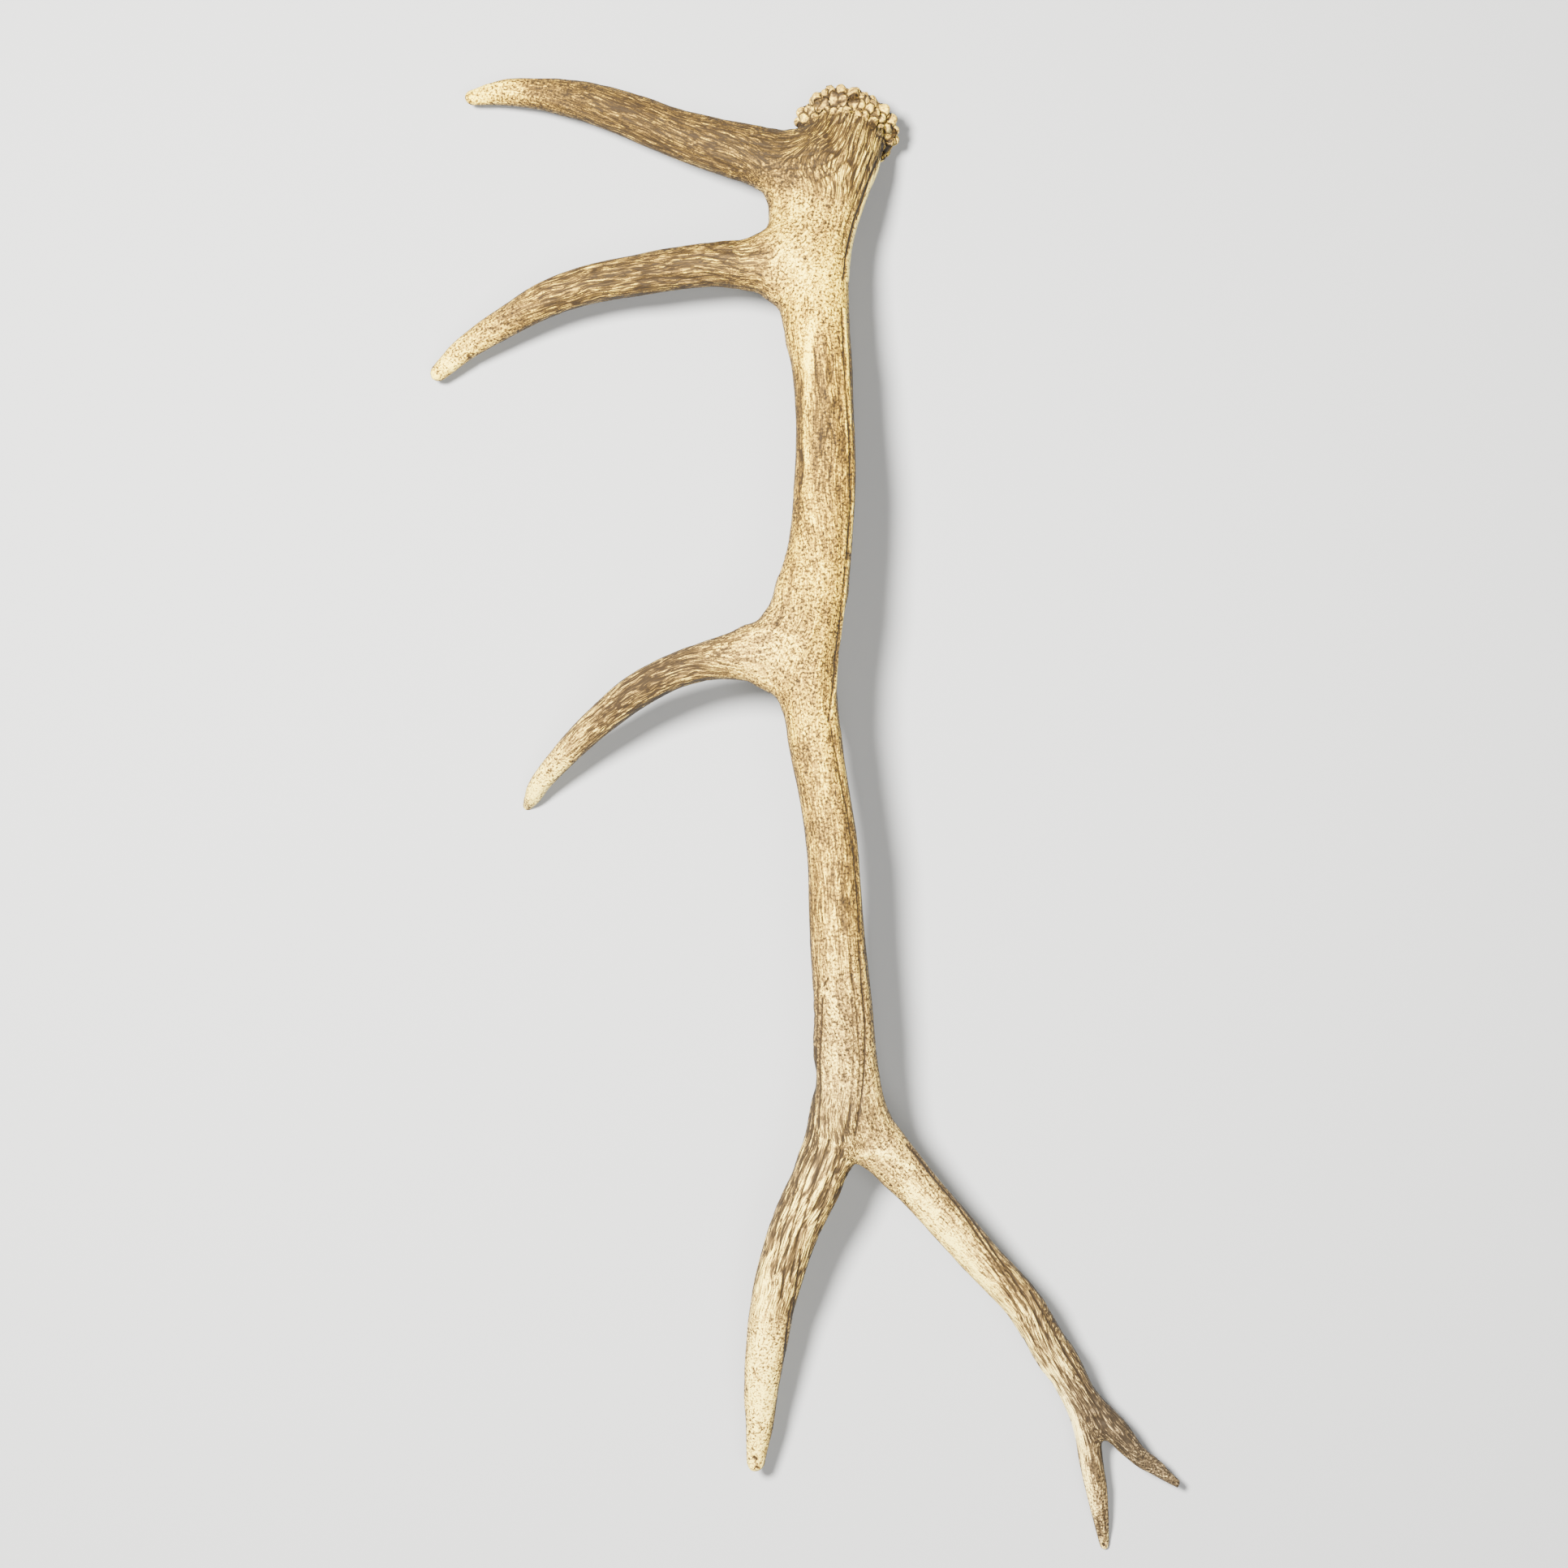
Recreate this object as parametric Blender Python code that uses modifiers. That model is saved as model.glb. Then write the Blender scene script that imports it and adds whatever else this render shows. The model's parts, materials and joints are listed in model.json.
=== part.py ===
"""A shed antler of a wapiti with six points, lying on its inner side.

The beam runs along Y, with the burr at +Y and the crown at -Y. The tines point to -X.
Lengths in the tables are in millimetres, and the scene is in metres.
"""

import math
import random

import bmesh
import bpy
import numpy as np
from mathutils import Matrix, Vector

MM = 0.001

# ---------------------------------------------------------------- driving sizes

# Each row is a place on a branch's middle line: x, y, z, half width and half depth.
BEAM = (
    (33.5, 556.5, 32.7, 33.0, 33.0),
    (32.5, 545.0, 42, 31.0, 31.0),
    (29.5, 526.0, 53, 28.8, 27.5),
    (23.2, 499.0, 66, 25.7, 25.0),
    (15.0, 466.0, 77, 24.0, 23.5),
    (10.4, 429.0, 87, 24.2, 23.0),
    (8.6, 391.0, 96, 26.2, 23.0),
    (12.4, 358.0, 104, 23.9, 22.5),
    (14.6, 324.0, 110, 23.2, 22.0),
    (14.6, 260.0, 121, 24.1, 22.0),
    (9.4, 203.0, 128, 25.4, 22.0),
    (4.2, 178.0, 130.5, 28.5, 21.8),
    (5.0, 150.0, 132, 22.9, 21.5),
    (1.8, 109.0, 134, 22.6, 21.0),
    (5.8, 71.0, 134, 20.9, 20.0),
    (13.2, 27.0, 132, 19.8, 19.0),
    (20.3, -23.0, 128, 20.1, 19.0),
    (24.2, -86.0, 121, 21.4, 19.5),
    (29.1, -148.0, 113, 23.0, 19.5),
    (31.8, -194.0, 106, 25.0, 19.0),
    (41.0, -230.0, 102, 26.0, 17.5),
    (64.6, -261.0, 96, 20.0, 16.8),
    (86.0, -284.6, 91, 17.0, 16.0),
    (112.0, -314.0, 83, 16.4, 15.5),
    (141.0, -348.0, 73, 15.9, 15.0),
    (172.0, -382.0, 62, 15.4, 14.5),
    (193.0, -416.0, 53, 15.3, 14.0),
    (213.5, -449.2, 44, 15.8, 13.5),
    (224.0, -478.0, 37, 12.8, 12.0),
    (229.2, -505.0, 30, 10.9, 10.6),
    (235.0, -537.0, 22, 9.5, 9.0),
    (240.5, -569.0, 13, 6.1, 5.9),
    (243.8, -588.0, 4.5, 4.0, 3.6),
)
PALM = (
    (-9.5, 512.0, 63, 23.0, 19.0),
    (-8.5, 483.0, 70, 21.5, 19.5),
    (-4.0, 452.0, 79, 24.0, 19.5),
)
BROW_TINE = (
    (11.0, 523.0, 59, 31.0, 22.0),
    (-21.0, 525.0, 59, 26.5, 20.5),
    (-50.0, 533.2, 57, 22.9, 19.0),
    (-82.0, 543.2, 52, 20.7, 18.0),
    (-115.0, 555.1, 47, 18.5, 17.0),
    (-148.0, 568.4, 42, 17.1, 16.0),
    (-181.0, 579.6, 36, 15.4, 14.3),
    (-214.0, 585.9, 30, 12.4, 12.0),
    (-247.0, 588.3, 23, 9.9, 9.6),
    (-265.6, 586.2, 18.7, 6.9, 6.7),
)
BEZ_TINE = (
    (-4.0, 434.0, 87, 36.0, 19.5),
    (-20.0, 437.5, 86, 32.0, 19.0),
    (-31.0, 440.0, 85, 27.5, 18.5),
    (-45.0, 439.5, 84, 21.2, 18.0),
    (-58.0, 439.5, 82.5, 18.6, 17.2),
    (-72.0, 439.5, 81, 17.4, 16.5),
    (-104.0, 437.0, 76, 16.7, 15.5),
    (-137.0, 432.5, 70, 15.7, 15.0),
    (-176.0, 426.2, 61, 15.3, 14.7),
    (-212.0, 414.6, 51, 14.1, 13.5),
    (-245.0, 397.6, 40, 12.1, 11.8),
    (-276.0, 379.3, 29, 9.6, 9.4),
    (-294.2, 364.7, 21, 7.4, 7.0),
)
TREZ_TINE = (
    (-4.0, 138.0, 132, 48.0, 18.0),
    (-20.0, 132.5, 130, 42.0, 18.0),
    (-30.0, 130.5, 129, 34.0, 18.0),
    (-44.0, 130.5, 127, 23.4, 17.5),
    (-54.0, 129.0, 124.3, 19.2, 16.5),
    (-65.0, 127.4, 121, 16.7, 15.5),
    (-97.0, 119.8, 109, 14.1, 14.0),
    (-129.0, 105.0, 92, 13.9, 13.2),
    (-161.7, 81.7, 70, 12.2, 12.0),
    (-195.0, 51.0, 43, 10.2, 10.2),
    (-213.0, 31.8, 27, 8.3, 8.0),
    (-222.5, 17.5, 10.5, 6.0, 5.2),
    (-225.5, 13.1, 3.3, 4.2, 3.6),
)
ROYAL_TINE = (
    (28.5, -218.0, 105, 24.0, 16.5),
    (12.1, -273.0, 96, 21.3, 17.0),
    (-6.3, -314.0, 87, 19.8, 17.0),
    (-17.1, -347.0, 79, 19.0, 16.6),
    (-25.5, -381.0, 70, 17.8, 16.2),
    (-30.2, -414.0, 61, 16.3, 15.2),
    (-34.9, -449.0, 52, 14.2, 13.7),
    (-36.6, -483.0, 43, 11.2, 10.8),
    (-39.3, -512.0, 35.5, 7.5, 7.0),
)
CROWN_TINE = (
    (219.0, -461.0, 42, 13.0, 10.5),
    (246.5, -485.7, 39, 12.2, 10.8),
    (265.7, -509.2, 34, 8.7, 8.4),
    (283.0, -521.4, 29, 6.0, 5.8),
    (299.3, -534.2, 23.2, 3.4, 3.3),
)
BRANCHES = {
    "beam": BEAM,
    "palm": PALM,
    "brow": BROW_TINE,
    "bez": BEZ_TINE,
    "trez": TREZ_TINE,
    "royal": ROYAL_TINE,
    "crown": CROWN_TINE,
}
FORK_BLEND = {
    "palm": 14.0,
    "brow": 24.0,
    "bez": 27.0,
    "trez": 27.0,
    "royal": 25.0,
    "crown": 8.0,
}
# The middle of the underside of the antler's box: it goes to the origin.
BOX_FOOT = (-1.2, 4.5, 1.0)

FOOT_CAP = 8.0
TIP_LENGTH = 1.3
STEP = 3.0

# The burr: a ring of pearls around the beam's foot, and the domed seal inside it.
BURR_AXIS = (0.115, 0.76, -0.64)
SEAL_DOME = 9.0
SEAL_FLAT = 8.0
FLANGE_RADIUS = 30.0
FLANGE_HALF = (6.0, 6.0)
FLANGE_BLEND = 9.0
# The rim is not quite round: how far it stands out at each angle around the beam.
RIM = (
    (0, 2.5),
    (25, 1.0),
    (50, -1.0),
    (90, 0.0),
    (115, 3.0),
    (150, 0.0),
    (180, 1.5),
    (225, 0.5),
    (270, 1.0),
    (325, -4.0),
    (360, 2.5),
)
PEARL_ROWS = (
    {"count": 29, "radius": 34.8, "height": -1.5, "half": (5.6, 4.4, 6.2)},
    {"count": 24, "radius": 33.0, "height": -9.0, "half": (3.8, 3.8, 4.4)},
)
PEARL_JITTER = 1.0
PEARL_BLEND = 2.0
BURR_BLANK = (40.0, 40.0, 11.0)
BURR_REACH = 58.0

# Long ridges run along every branch and fade out at the smooth tips.
RIDGES = ((6, 0.55, 0.011), (10, 0.35, -0.017))
RIDGE_FADE = 70.0
RIDGE_BLEND = 5.0
RIDGE_SWING = (2.0, 60.0)
RIDGE_CLEAR = (37.0, 60.0)

VOXEL = 2.5
SLOPE_STEP = 0.05
LARGEST_MOVE = 4.0
GROWING_PASSES = 4
# The crotches are smoothed where two branches are this near each other.
FORK_REACH = 30.0
FORK_EASE = 30
# No easing within the first of these distances from the burr, and all of it past the second.
BURR_CLEAR = (50.0, 70.0)
TRIANGLES = 8100
CUT_GAP = 0.3
CUT_SIDES = 24
SHARP_ANGLE = 50.0
MERGE_DISTANCE = 0.02

# Where the antler is split: branch, distance along its middle line, and cut radius.
CUTS = (
    ("brow", 48.0, 30.0),
    ("bez", 44.0, 27.0),
    ("trez", 46.0, 25.0),
    ("royal", 70.0, 28.0),
    ("crown", 47.0, 12.5),
    ("beam", 218.0, 34.0),
    ("beam", 537.0, 30.0),
    ("beam", 872.0, 26.0),
)

# Each node: a place near its middle, and its colour.
NODES = {
    "lower_beam": ((15, 470, 75), (0.50, 0.36, 0.19)),
    "middle_beam": ((8, 200, 127), (0.53, 0.39, 0.21)),
    "upper_beam": ((25, -110, 118), (0.53, 0.40, 0.23)),
    "brow_tine": ((-130, 560, 45), (0.40, 0.27, 0.13)),
    "bez_tine": ((-165, 425, 63), (0.44, 0.31, 0.16)),
    "trez_tine": ((-130, 100, 90), (0.48, 0.35, 0.19)),
    "royal_tine": ((-20, -385, 70), (0.60, 0.49, 0.31)),
    "crown_beam": ((180, -420, 55), (0.58, 0.46, 0.29)),
    "crown_tine": ((268, -507, 34), (0.44, 0.32, 0.18)),
}
ROUGHNESS = 0.55


# ---------------------------------------------------------------- the form as a field


def unit(vectors):
    """The same vectors, one long."""
    length = np.linalg.norm(vectors, axis=-1, keepdims=True)
    return vectors / np.maximum(length, 1e-9)


def smooth_step(value, low, high):
    t = np.clip((value - low) / (high - low), 0.0, 1.0)
    return t * t * (3.0 - 2.0 * t)


def smooth_path(stations):
    """A smooth curve through the stations, as rows every few millimetres."""
    rows = np.array(stations, float)
    rows[:, :3] -= BOX_FOOT
    chord = np.linalg.norm(np.diff(rows[:, :3], axis=0), axis=1)
    at = np.concatenate([[0.0], np.cumsum(chord)])
    slope = np.gradient(rows, at, axis=0)
    wanted = np.linspace(0.0, at[-1], int(at[-1] / STEP) + 1)
    cell = np.clip(np.searchsorted(at, wanted, side="right") - 1, 0, len(at) - 2)
    span = chord[cell][:, None]
    t = (wanted[:, None] - at[cell][:, None]) / span
    start = rows[cell] * (2 * t**3 - 3 * t**2 + 1) + slope[cell] * span * (t**3 - 2 * t**2 + t)
    end = rows[cell + 1] * (3 * t**2 - 2 * t**3) + slope[cell + 1] * span * (t**3 - t**2)
    return start + end


class Branch:
    """One branch: a smooth middle line with an oval section that changes along it."""

    def __init__(self, name, stations):
        rows = smooth_path(stations)
        self.name = name
        self.middle = rows[:, :3]
        self.half = rows[:, 3:]
        ahead = np.gradient(self.middle, axis=0)
        step = np.linalg.norm(ahead, axis=1)
        self.along = unit(ahead)
        self.side = unit(np.cross((0.0, 0.0, 1.0), self.along))
        self.up = np.cross(self.along, self.side)
        self.widening = np.gradient(self.half, axis=0) / step[:, None]
        self.distance = np.concatenate([[0.0], np.cumsum(step)[:-1]])
        foot = SEAL_DOME if name == "beam" else FOOT_CAP
        self.cap = np.array([foot, TIP_LENGTH * self.half[-1, 0]])

    def nearest(self, points):
        """The index of the middle line's nearest row to each point."""
        found = []
        for block in np.array_split(points, max(1, len(points) // 20000)):
            away = (self.middle**2).sum(axis=1) - 2.0 * block @ self.middle.T
            found.append(away.argmin(axis=1))
        return np.concatenate(found)

    def place(self, points, row):
        """Distance to the surface, angle around the branch and distance along it."""
        offset = points - self.middle[row]
        ahead = (offset * self.along[row]).sum(axis=1)
        inside = np.clip(ahead, -0.5 * STEP, 0.5 * STEP)
        half = self.half[row] + self.widening[row] * inside[:, None]
        offset = offset - self.along[row] * inside[:, None]
        across = (offset * self.side[row]).sum(axis=1)
        upward = (offset * self.up[row]).sum(axis=1)
        last = row == len(self.middle) - 1
        beyond = np.where((row == 0) | last, ahead - inside, 0.0)
        cap = self.cap[last.astype(int)]
        reach = np.sqrt((across / half[:, 0]) ** 2 + (upward / half[:, 1]) ** 2 + (beyond / cap) ** 2)
        reach = np.maximum(reach, 1e-6)
        gap = np.linalg.norm(offset, axis=1) * (1.0 - 1.0 / reach)
        gap = np.where(reach < 0.05, -half.min(axis=1), gap)
        return gap, np.arctan2(upward, across), self.distance[row] + inside


def blended(first, second, width):
    """The union of two distances, with a fillet about as wide as stated."""
    near = np.maximum(width - np.abs(first - second), 0.0) / width
    return np.minimum(first, second) - near**3 * width / 6.0


def rim_at(turn):
    """How far the burr's rim stands out at each angle."""
    angle, extra = np.array(RIM).T
    return np.interp(np.degrees(turn) % 360.0, angle, extra)


class Burr:
    """The ring of pearls around the beam's foot."""

    def __init__(self):
        self.centre = np.array(BEAM[0][:3]) - BOX_FOOT
        self.axis = unit(np.array(BURR_AXIS))
        self.right = unit(np.cross(self.axis, (0.0, 0.0, 1.0)))
        self.front = np.cross(self.right, self.axis)
        self.pearls = [pearl for row in PEARL_ROWS for pearl in self.pearl_row(row)]

    def pearl_row(self, row):
        """Uneven pearls in one ring: each a centre, three axes and three half sizes."""
        chance = random.Random(row["count"])
        for number in range(row["count"]):
            turn = 2.0 * math.pi * (number + chance.uniform(-0.25, 0.25)) / row["count"]
            outward = math.cos(turn) * self.right + math.sin(turn) * self.front
            radius = row["radius"] + rim_at(turn) + chance.uniform(-PEARL_JITTER, PEARL_JITTER)
            height = row["height"] + chance.uniform(-PEARL_JITTER, PEARL_JITTER)
            half = np.array(row["half"]) * chance.uniform(0.85, 1.15)
            centre = self.centre + radius * outward + height * self.axis
            axes = np.array((outward, np.cross(self.axis, outward), self.axis))
            yield centre, axes, half

    def flange(self, points):
        """Distance to the plain disc behind the pearls."""
        offset = points - self.centre
        height = offset @ self.axis
        radius = np.linalg.norm(offset - height[:, None] * self.axis, axis=1)
        turn = np.arctan2(offset @ self.front, offset @ self.right)
        rim = FLANGE_RADIUS + rim_at(turn)
        reach = np.hypot((radius - rim) / FLANGE_HALF[0], height / FLANGE_HALF[1])
        return (reach - 1.0) * FLANGE_HALF[1]

    def beaded(self, points, gap):
        """A distance with the pearls grown on to it."""
        for centre, axes, half in self.pearls:
            local = (points - centre) @ axes.T
            reach = np.maximum(np.linalg.norm(local / half, axis=1), 1e-6)
            pearl = np.linalg.norm(local, axis=1) * (1.0 - 1.0 / reach)
            gap = blended(gap, pearl, PEARL_BLEND)
        return gap


class Antler:
    """The whole form: branches grown together at the forks, and the burr."""

    def __init__(self):
        self.branches = [Branch(name, rows) for name, rows in BRANCHES.items()]
        self.burr = Burr()

    def rows(self, points):
        return [branch.nearest(points) for branch in self.branches]

    def distance(self, points, rows, burr):
        """Signed distance from each point to the surface, in millimetres."""
        gap = self.branches[0].place(points, rows[0])[0]
        for branch, row in zip(self.branches[1:], rows[1:]):
            gap = blended(gap, branch.place(points, row)[0], FORK_BLEND[branch.name])
        if burr.any():
            gap[burr] = blended(gap[burr], self.burr.flange(points[burr]), FLANGE_BLEND)
            gap[burr] = self.burr.beaded(points[burr], gap[burr])
        return gap

    def slope(self, points, rows, burr):
        """Distance and its gradient at each point."""
        here = self.distance(points, rows, burr)
        gradient = np.empty_like(points)
        for axis in range(3):
            shifted = points.copy()
            shifted[:, axis] += SLOPE_STEP
            gradient[:, axis] = (self.distance(shifted, rows, burr) - here) / SLOPE_STEP
        return here, gradient

    def project(self, points, steps=3):
        """The points moved on to the surface, and the surface's outward normals."""
        points = points.copy()
        rows = self.rows(points)
        burr = np.linalg.norm(points - self.burr.centre, axis=1) < BURR_REACH
        for _ in range(steps):
            here, gradient = self.slope(points, rows, burr)
            steep = np.maximum((gradient**2).sum(axis=1), 0.2)
            move = gradient * (here / steep)[:, None]
            points -= np.clip(move, -LARGEST_MOVE, LARGEST_MOVE)
        return points, unit(gradient)

    def ridges(self, points):
        """How far each point is raised by the long ridges."""
        rows = self.rows(points)
        height = np.zeros(len(points))
        total = np.zeros(len(points))
        for branch, row in zip(self.branches, rows):
            gap, turn, along = branch.place(points, row)
            weight = np.exp(-np.abs(gap) / RIDGE_BLEND)
            fade = np.clip((branch.distance[-1] - along) / RIDGE_FADE, 0.0, 1.0)
            wave = np.zeros(len(points))
            for count, size, drift in RIDGES:
                swing = RIDGE_SWING[0] * np.sin(along / RIDGE_SWING[1])
                wave += size * np.cos(count * turn + drift * along + swing)
            height += weight * wave * fade
            total += weight
        away = np.linalg.norm(points - self.burr.centre, axis=1)
        return height / np.maximum(total, 1e-6) * smooth_step(away, *RIDGE_CLEAR)


# ---------------------------------------------------------------- Blender helpers


def clear_scene():
    for thing in list(bpy.data.objects):
        bpy.data.objects.remove(thing, do_unlink=True)


def collection(name):
    made = bpy.data.collections.new(name)
    bpy.context.scene.collection.children.link(made)
    return made


def add_object(name, data, group):
    made = bpy.data.objects.new(name, data)
    group.objects.link(made)
    return made


def evaluated_mesh(thing):
    """A plain mesh of an object with its modifiers, in world space."""
    bpy.context.view_layer.update()
    graph = bpy.context.evaluated_depsgraph_get()
    mesh = bpy.data.meshes.new_from_object(thing.evaluated_get(graph))
    mesh.transform(thing.matrix_world)
    return mesh


def vertex_array(mesh):
    flat = np.empty(len(mesh.vertices) * 3, np.float32)
    mesh.vertices.foreach_get("co", flat)
    return flat.reshape(-1, 3).astype(float) / MM


def set_vertices(mesh, points):
    mesh.vertices.foreach_set("co", (points * MM).astype(np.float32).ravel())
    mesh.update()


def edge_array(mesh):
    flat = np.empty(len(mesh.edges) * 2, np.int32)
    mesh.edges.foreach_get("vertices", flat)
    return flat.reshape(-1, 2)


def relaxed(points, edges):
    """Each point moved to the mean of its neighbours."""
    count = np.bincount(edges.ravel(), minlength=len(points))
    moved = np.empty_like(points)
    for axis in range(3):
        total = np.bincount(edges[:, 0], points[edges[:, 1], axis], len(points))
        total += np.bincount(edges[:, 1], points[edges[:, 0], axis], len(points))
        moved[:, axis] = total / count
    return moved


# ---------------------------------------------------------------- modelling


def branch_tube(branch, group):
    """A tapering tube along one branch, as a curve with a bevel."""
    curve = bpy.data.curves.new(branch.name + "_tube", "CURVE")
    curve.dimensions = "3D"
    curve.bevel_depth = MM
    curve.bevel_resolution = 6
    curve.use_fill_caps = True
    spline = curve.splines.new("POLY")
    spline.points.add(len(branch.middle))
    for point, middle, half in zip(spline.points, branch.middle, branch.half):
        point.co = (*(middle * MM), 1.0)
        point.radius = half.mean()
    tip = branch.middle[-1] + 0.8 * branch.cap[1] * branch.along[-1]
    spline.points[-1].co = (*(tip * MM), 1.0)
    spline.points[-1].radius = 0.5 * branch.half[-1].mean()
    return add_object(branch.name + "_tube", curve, group)


def burr_blank(burr, group):
    """A thick rounded disc where the burr's pearls will be."""
    bm = bmesh.new()
    bmesh.ops.create_uvsphere(bm, u_segments=32, v_segments=16, radius=1.0)
    mesh = bpy.data.meshes.new("burr_blank")
    bm.to_mesh(mesh)
    bm.free()
    blank = add_object("burr_blank", mesh, group)
    turn = Vector(burr.axis).to_track_quat("Z", "Y").to_matrix().to_4x4()
    size = Matrix.Diagonal((*(half * MM for half in BURR_BLANK), 1.0))
    blank.matrix_world = Matrix.Translation(Vector(burr.centre * MM)) @ turn @ size
    return blank


def remeshed_blank(antler, group):
    """All tubes and the burr joined in one closed mesh of even quads."""
    blanks = [branch_tube(branch, group) for branch in antler.branches]
    blanks.append(burr_blank(antler.burr, group))
    bm = bmesh.new()
    for blank in blanks:
        bm.from_mesh(evaluated_mesh(blank))
    mesh = bpy.data.meshes.new("antler_blank")
    bm.to_mesh(mesh)
    bm.free()
    for blank in blanks:
        bpy.data.objects.remove(blank, do_unlink=True)
    joined = add_object("antler_blank", mesh, group)
    remesh = joined.modifiers.new("even_quads", "REMESH")
    remesh.mode = "VOXEL"
    remesh.voxel_size = VOXEL * MM
    result = evaluated_mesh(joined)
    bpy.data.objects.remove(joined, do_unlink=True)
    return result


def eased_forks(points, edges, antler):
    """The crotches of the forks smoothed, as they grow."""
    rows = antler.rows(points)
    gaps = np.array([branch.place(points, row)[0] for branch, row in zip(antler.branches, rows)])
    first, second = np.sort(gaps, axis=0)[:2]
    share = smooth_step(FORK_REACH - (second - first), 0.0, 0.5 * FORK_REACH)
    share *= smooth_step(np.linalg.norm(points - antler.burr.centre, axis=1), *BURR_CLEAR)
    for _ in range(FORK_EASE):
        points = points + 0.5 * share[:, None] * (relaxed(points, edges) - points)
    return points


def grow(mesh, antler):
    """Move the even mesh on to the antler's form, and raise its ridges."""
    edges = edge_array(mesh)
    points, _ = antler.project(vertex_array(mesh))
    for _ in range(GROWING_PASSES):
        points, normals = antler.project(relaxed(points, edges), steps=2)
    height = antler.ridges(points)
    points = eased_forks(points, edges, antler)
    set_vertices(mesh, points + normals * height[:, None])


def thinned(mesh, group):
    """The mesh with few enough triangles, kept closest where it curves most."""
    thing = add_object("antler_form", mesh, group)
    decimate = thing.modifiers.new("fewer_triangles", "DECIMATE")
    decimate.use_collapse_triangulate = True
    decimate.ratio = TRIANGLES / (2.0 * len(mesh.polygons))
    result = evaluated_mesh(thing)
    bpy.data.objects.remove(thing, do_unlink=True)
    return result


def flatten_seal(mesh, burr):
    """Trim the middle of the domed seal flat."""
    bm = bmesh.new()
    bm.from_mesh(mesh)
    place = Vector((burr.centre + SEAL_FLAT * burr.axis) * MM)
    geometry = bm.verts[:] + bm.edges[:] + bm.faces[:]
    bmesh.ops.bisect_plane(
        bm,
        geom=geometry,
        dist=MERGE_DISTANCE * MM,
        plane_co=place,
        plane_no=burr.axis,
        clear_outer=True,
    )
    border = [edge for edge in bm.edges if edge.is_boundary]
    bmesh.ops.edgeloop_fill(bm, edges=border)
    bm.to_mesh(mesh)
    bm.free()


def rest_on_ground(mesh):
    """Take off the hair's breadth by which the three resting points reach too low."""
    points = vertex_array(mesh)
    points[:, 2] = np.maximum(points[:, 2], 0.0)
    set_vertices(mesh, points)


def cut_disc(branch, distance, radius, number, group):
    """A thin disc across a branch, that parts it there."""
    row = int(np.abs(branch.distance - distance).argmin())
    bm = bmesh.new()
    bmesh.ops.create_cone(
        bm,
        cap_ends=True,
        segments=CUT_SIDES,
        radius1=radius * MM,
        radius2=radius * MM,
        depth=CUT_GAP * MM,
    )
    mesh = bpy.data.meshes.new("cut_disc")
    bm.to_mesh(mesh)
    bm.free()
    disc = add_object(f"cut_disc_{number}", mesh, group)
    turn = Vector(branch.along[row]).to_track_quat("Z", "Y").to_matrix().to_4x4()
    disc.matrix_world = Matrix.Translation(Vector(branch.middle[row] * MM)) @ turn
    disc.display_type = "WIRE"
    disc.hide_render = True
    return disc


def parted(mesh, antler, parts, cutters):
    """The mesh cut through at every fork."""
    thing = add_object("antler_whole", mesh, parts)
    named = {branch.name: branch for branch in antler.branches}
    for number, (name, distance, radius) in enumerate(CUTS):
        cut = thing.modifiers.new(f"cut_{number}", "BOOLEAN")
        cut.operation = "DIFFERENCE"
        cut.solver = "EXACT"
        cut.object = cut_disc(named[name], distance, radius, number, cutters)
    result = evaluated_mesh(thing)
    bpy.data.objects.remove(thing, do_unlink=True)
    return result


def loose_parts(bm):
    """The vertices of each connected piece."""
    left = set(bm.verts)
    while left:
        part = {left.pop()}
        edge = list(part)
        while edge:
            vert = edge.pop()
            for link in vert.link_edges:
                other = link.other_vert(vert)
                if other not in part:
                    part.add(other)
                    edge.append(other)
        left -= part
        yield part


def bone_material(name, colour):
    material = bpy.data.materials.new(name)
    material.use_nodes = True
    shader = material.node_tree.nodes["Principled BSDF"]
    shader.inputs["Base Color"].default_value = (*colour, 1.0)
    shader.inputs["Roughness"].default_value = ROUGHNESS
    shader.inputs["Metallic"].default_value = 0.0
    material.diffuse_color = (*colour, 1.0)
    return material


def name_pieces(mesh, parts):
    """Each loose piece as an object of its own, named for the place it covers."""
    whole = bmesh.new()
    whole.from_mesh(mesh)
    pieces = list(loose_parts(whole))
    centres = [np.mean([vert.co for vert in piece], axis=0) / MM for piece in pieces]
    for name, (middle, colour) in NODES.items():
        target = np.array(middle) - BOX_FOOT
        near = int(np.argmin([np.linalg.norm(centre - target) for centre in centres]))
        keep = {vert.index for vert in pieces[near]}
        bm = whole.copy()
        bm.verts.ensure_lookup_table()
        extra = [vert for vert in bm.verts if vert.index not in keep]
        bmesh.ops.delete(bm, geom=extra, context="VERTS")
        bmesh.ops.dissolve_degenerate(bm, dist=MERGE_DISTANCE * MM, edges=bm.edges[:])
        bmesh.ops.triangulate(bm, faces=bm.faces[:])
        piece_mesh = bpy.data.meshes.new(name)
        bm.to_mesh(piece_mesh)
        bm.free()
        piece_mesh.shade_smooth()
        piece_mesh.set_sharp_from_angle(angle=math.radians(SHARP_ANGLE))
        piece_mesh.materials.clear()
        piece_mesh.materials.append(bone_material(name, colour))
        add_object(name, piece_mesh, parts)
    whole.free()


def main():
    clear_scene()
    parts = collection("antler")
    cutters = collection("cutters")
    antler = Antler()
    mesh = remeshed_blank(antler, parts)
    grow(mesh, antler)
    mesh = thinned(mesh, parts)
    flatten_seal(mesh, antler.burr)
    rest_on_ground(mesh)
    mesh = parted(mesh, antler, parts, cutters)
    name_pieces(mesh, parts)


main()
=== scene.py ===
"""A shed antler with six points, lying on its inner side and seen from straight above.

The tables are in millimetres and the scene is in metres.
"""

import json
import math
import random

import bmesh
import bpy
import numpy as np
from mathutils import Matrix, Vector

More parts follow.
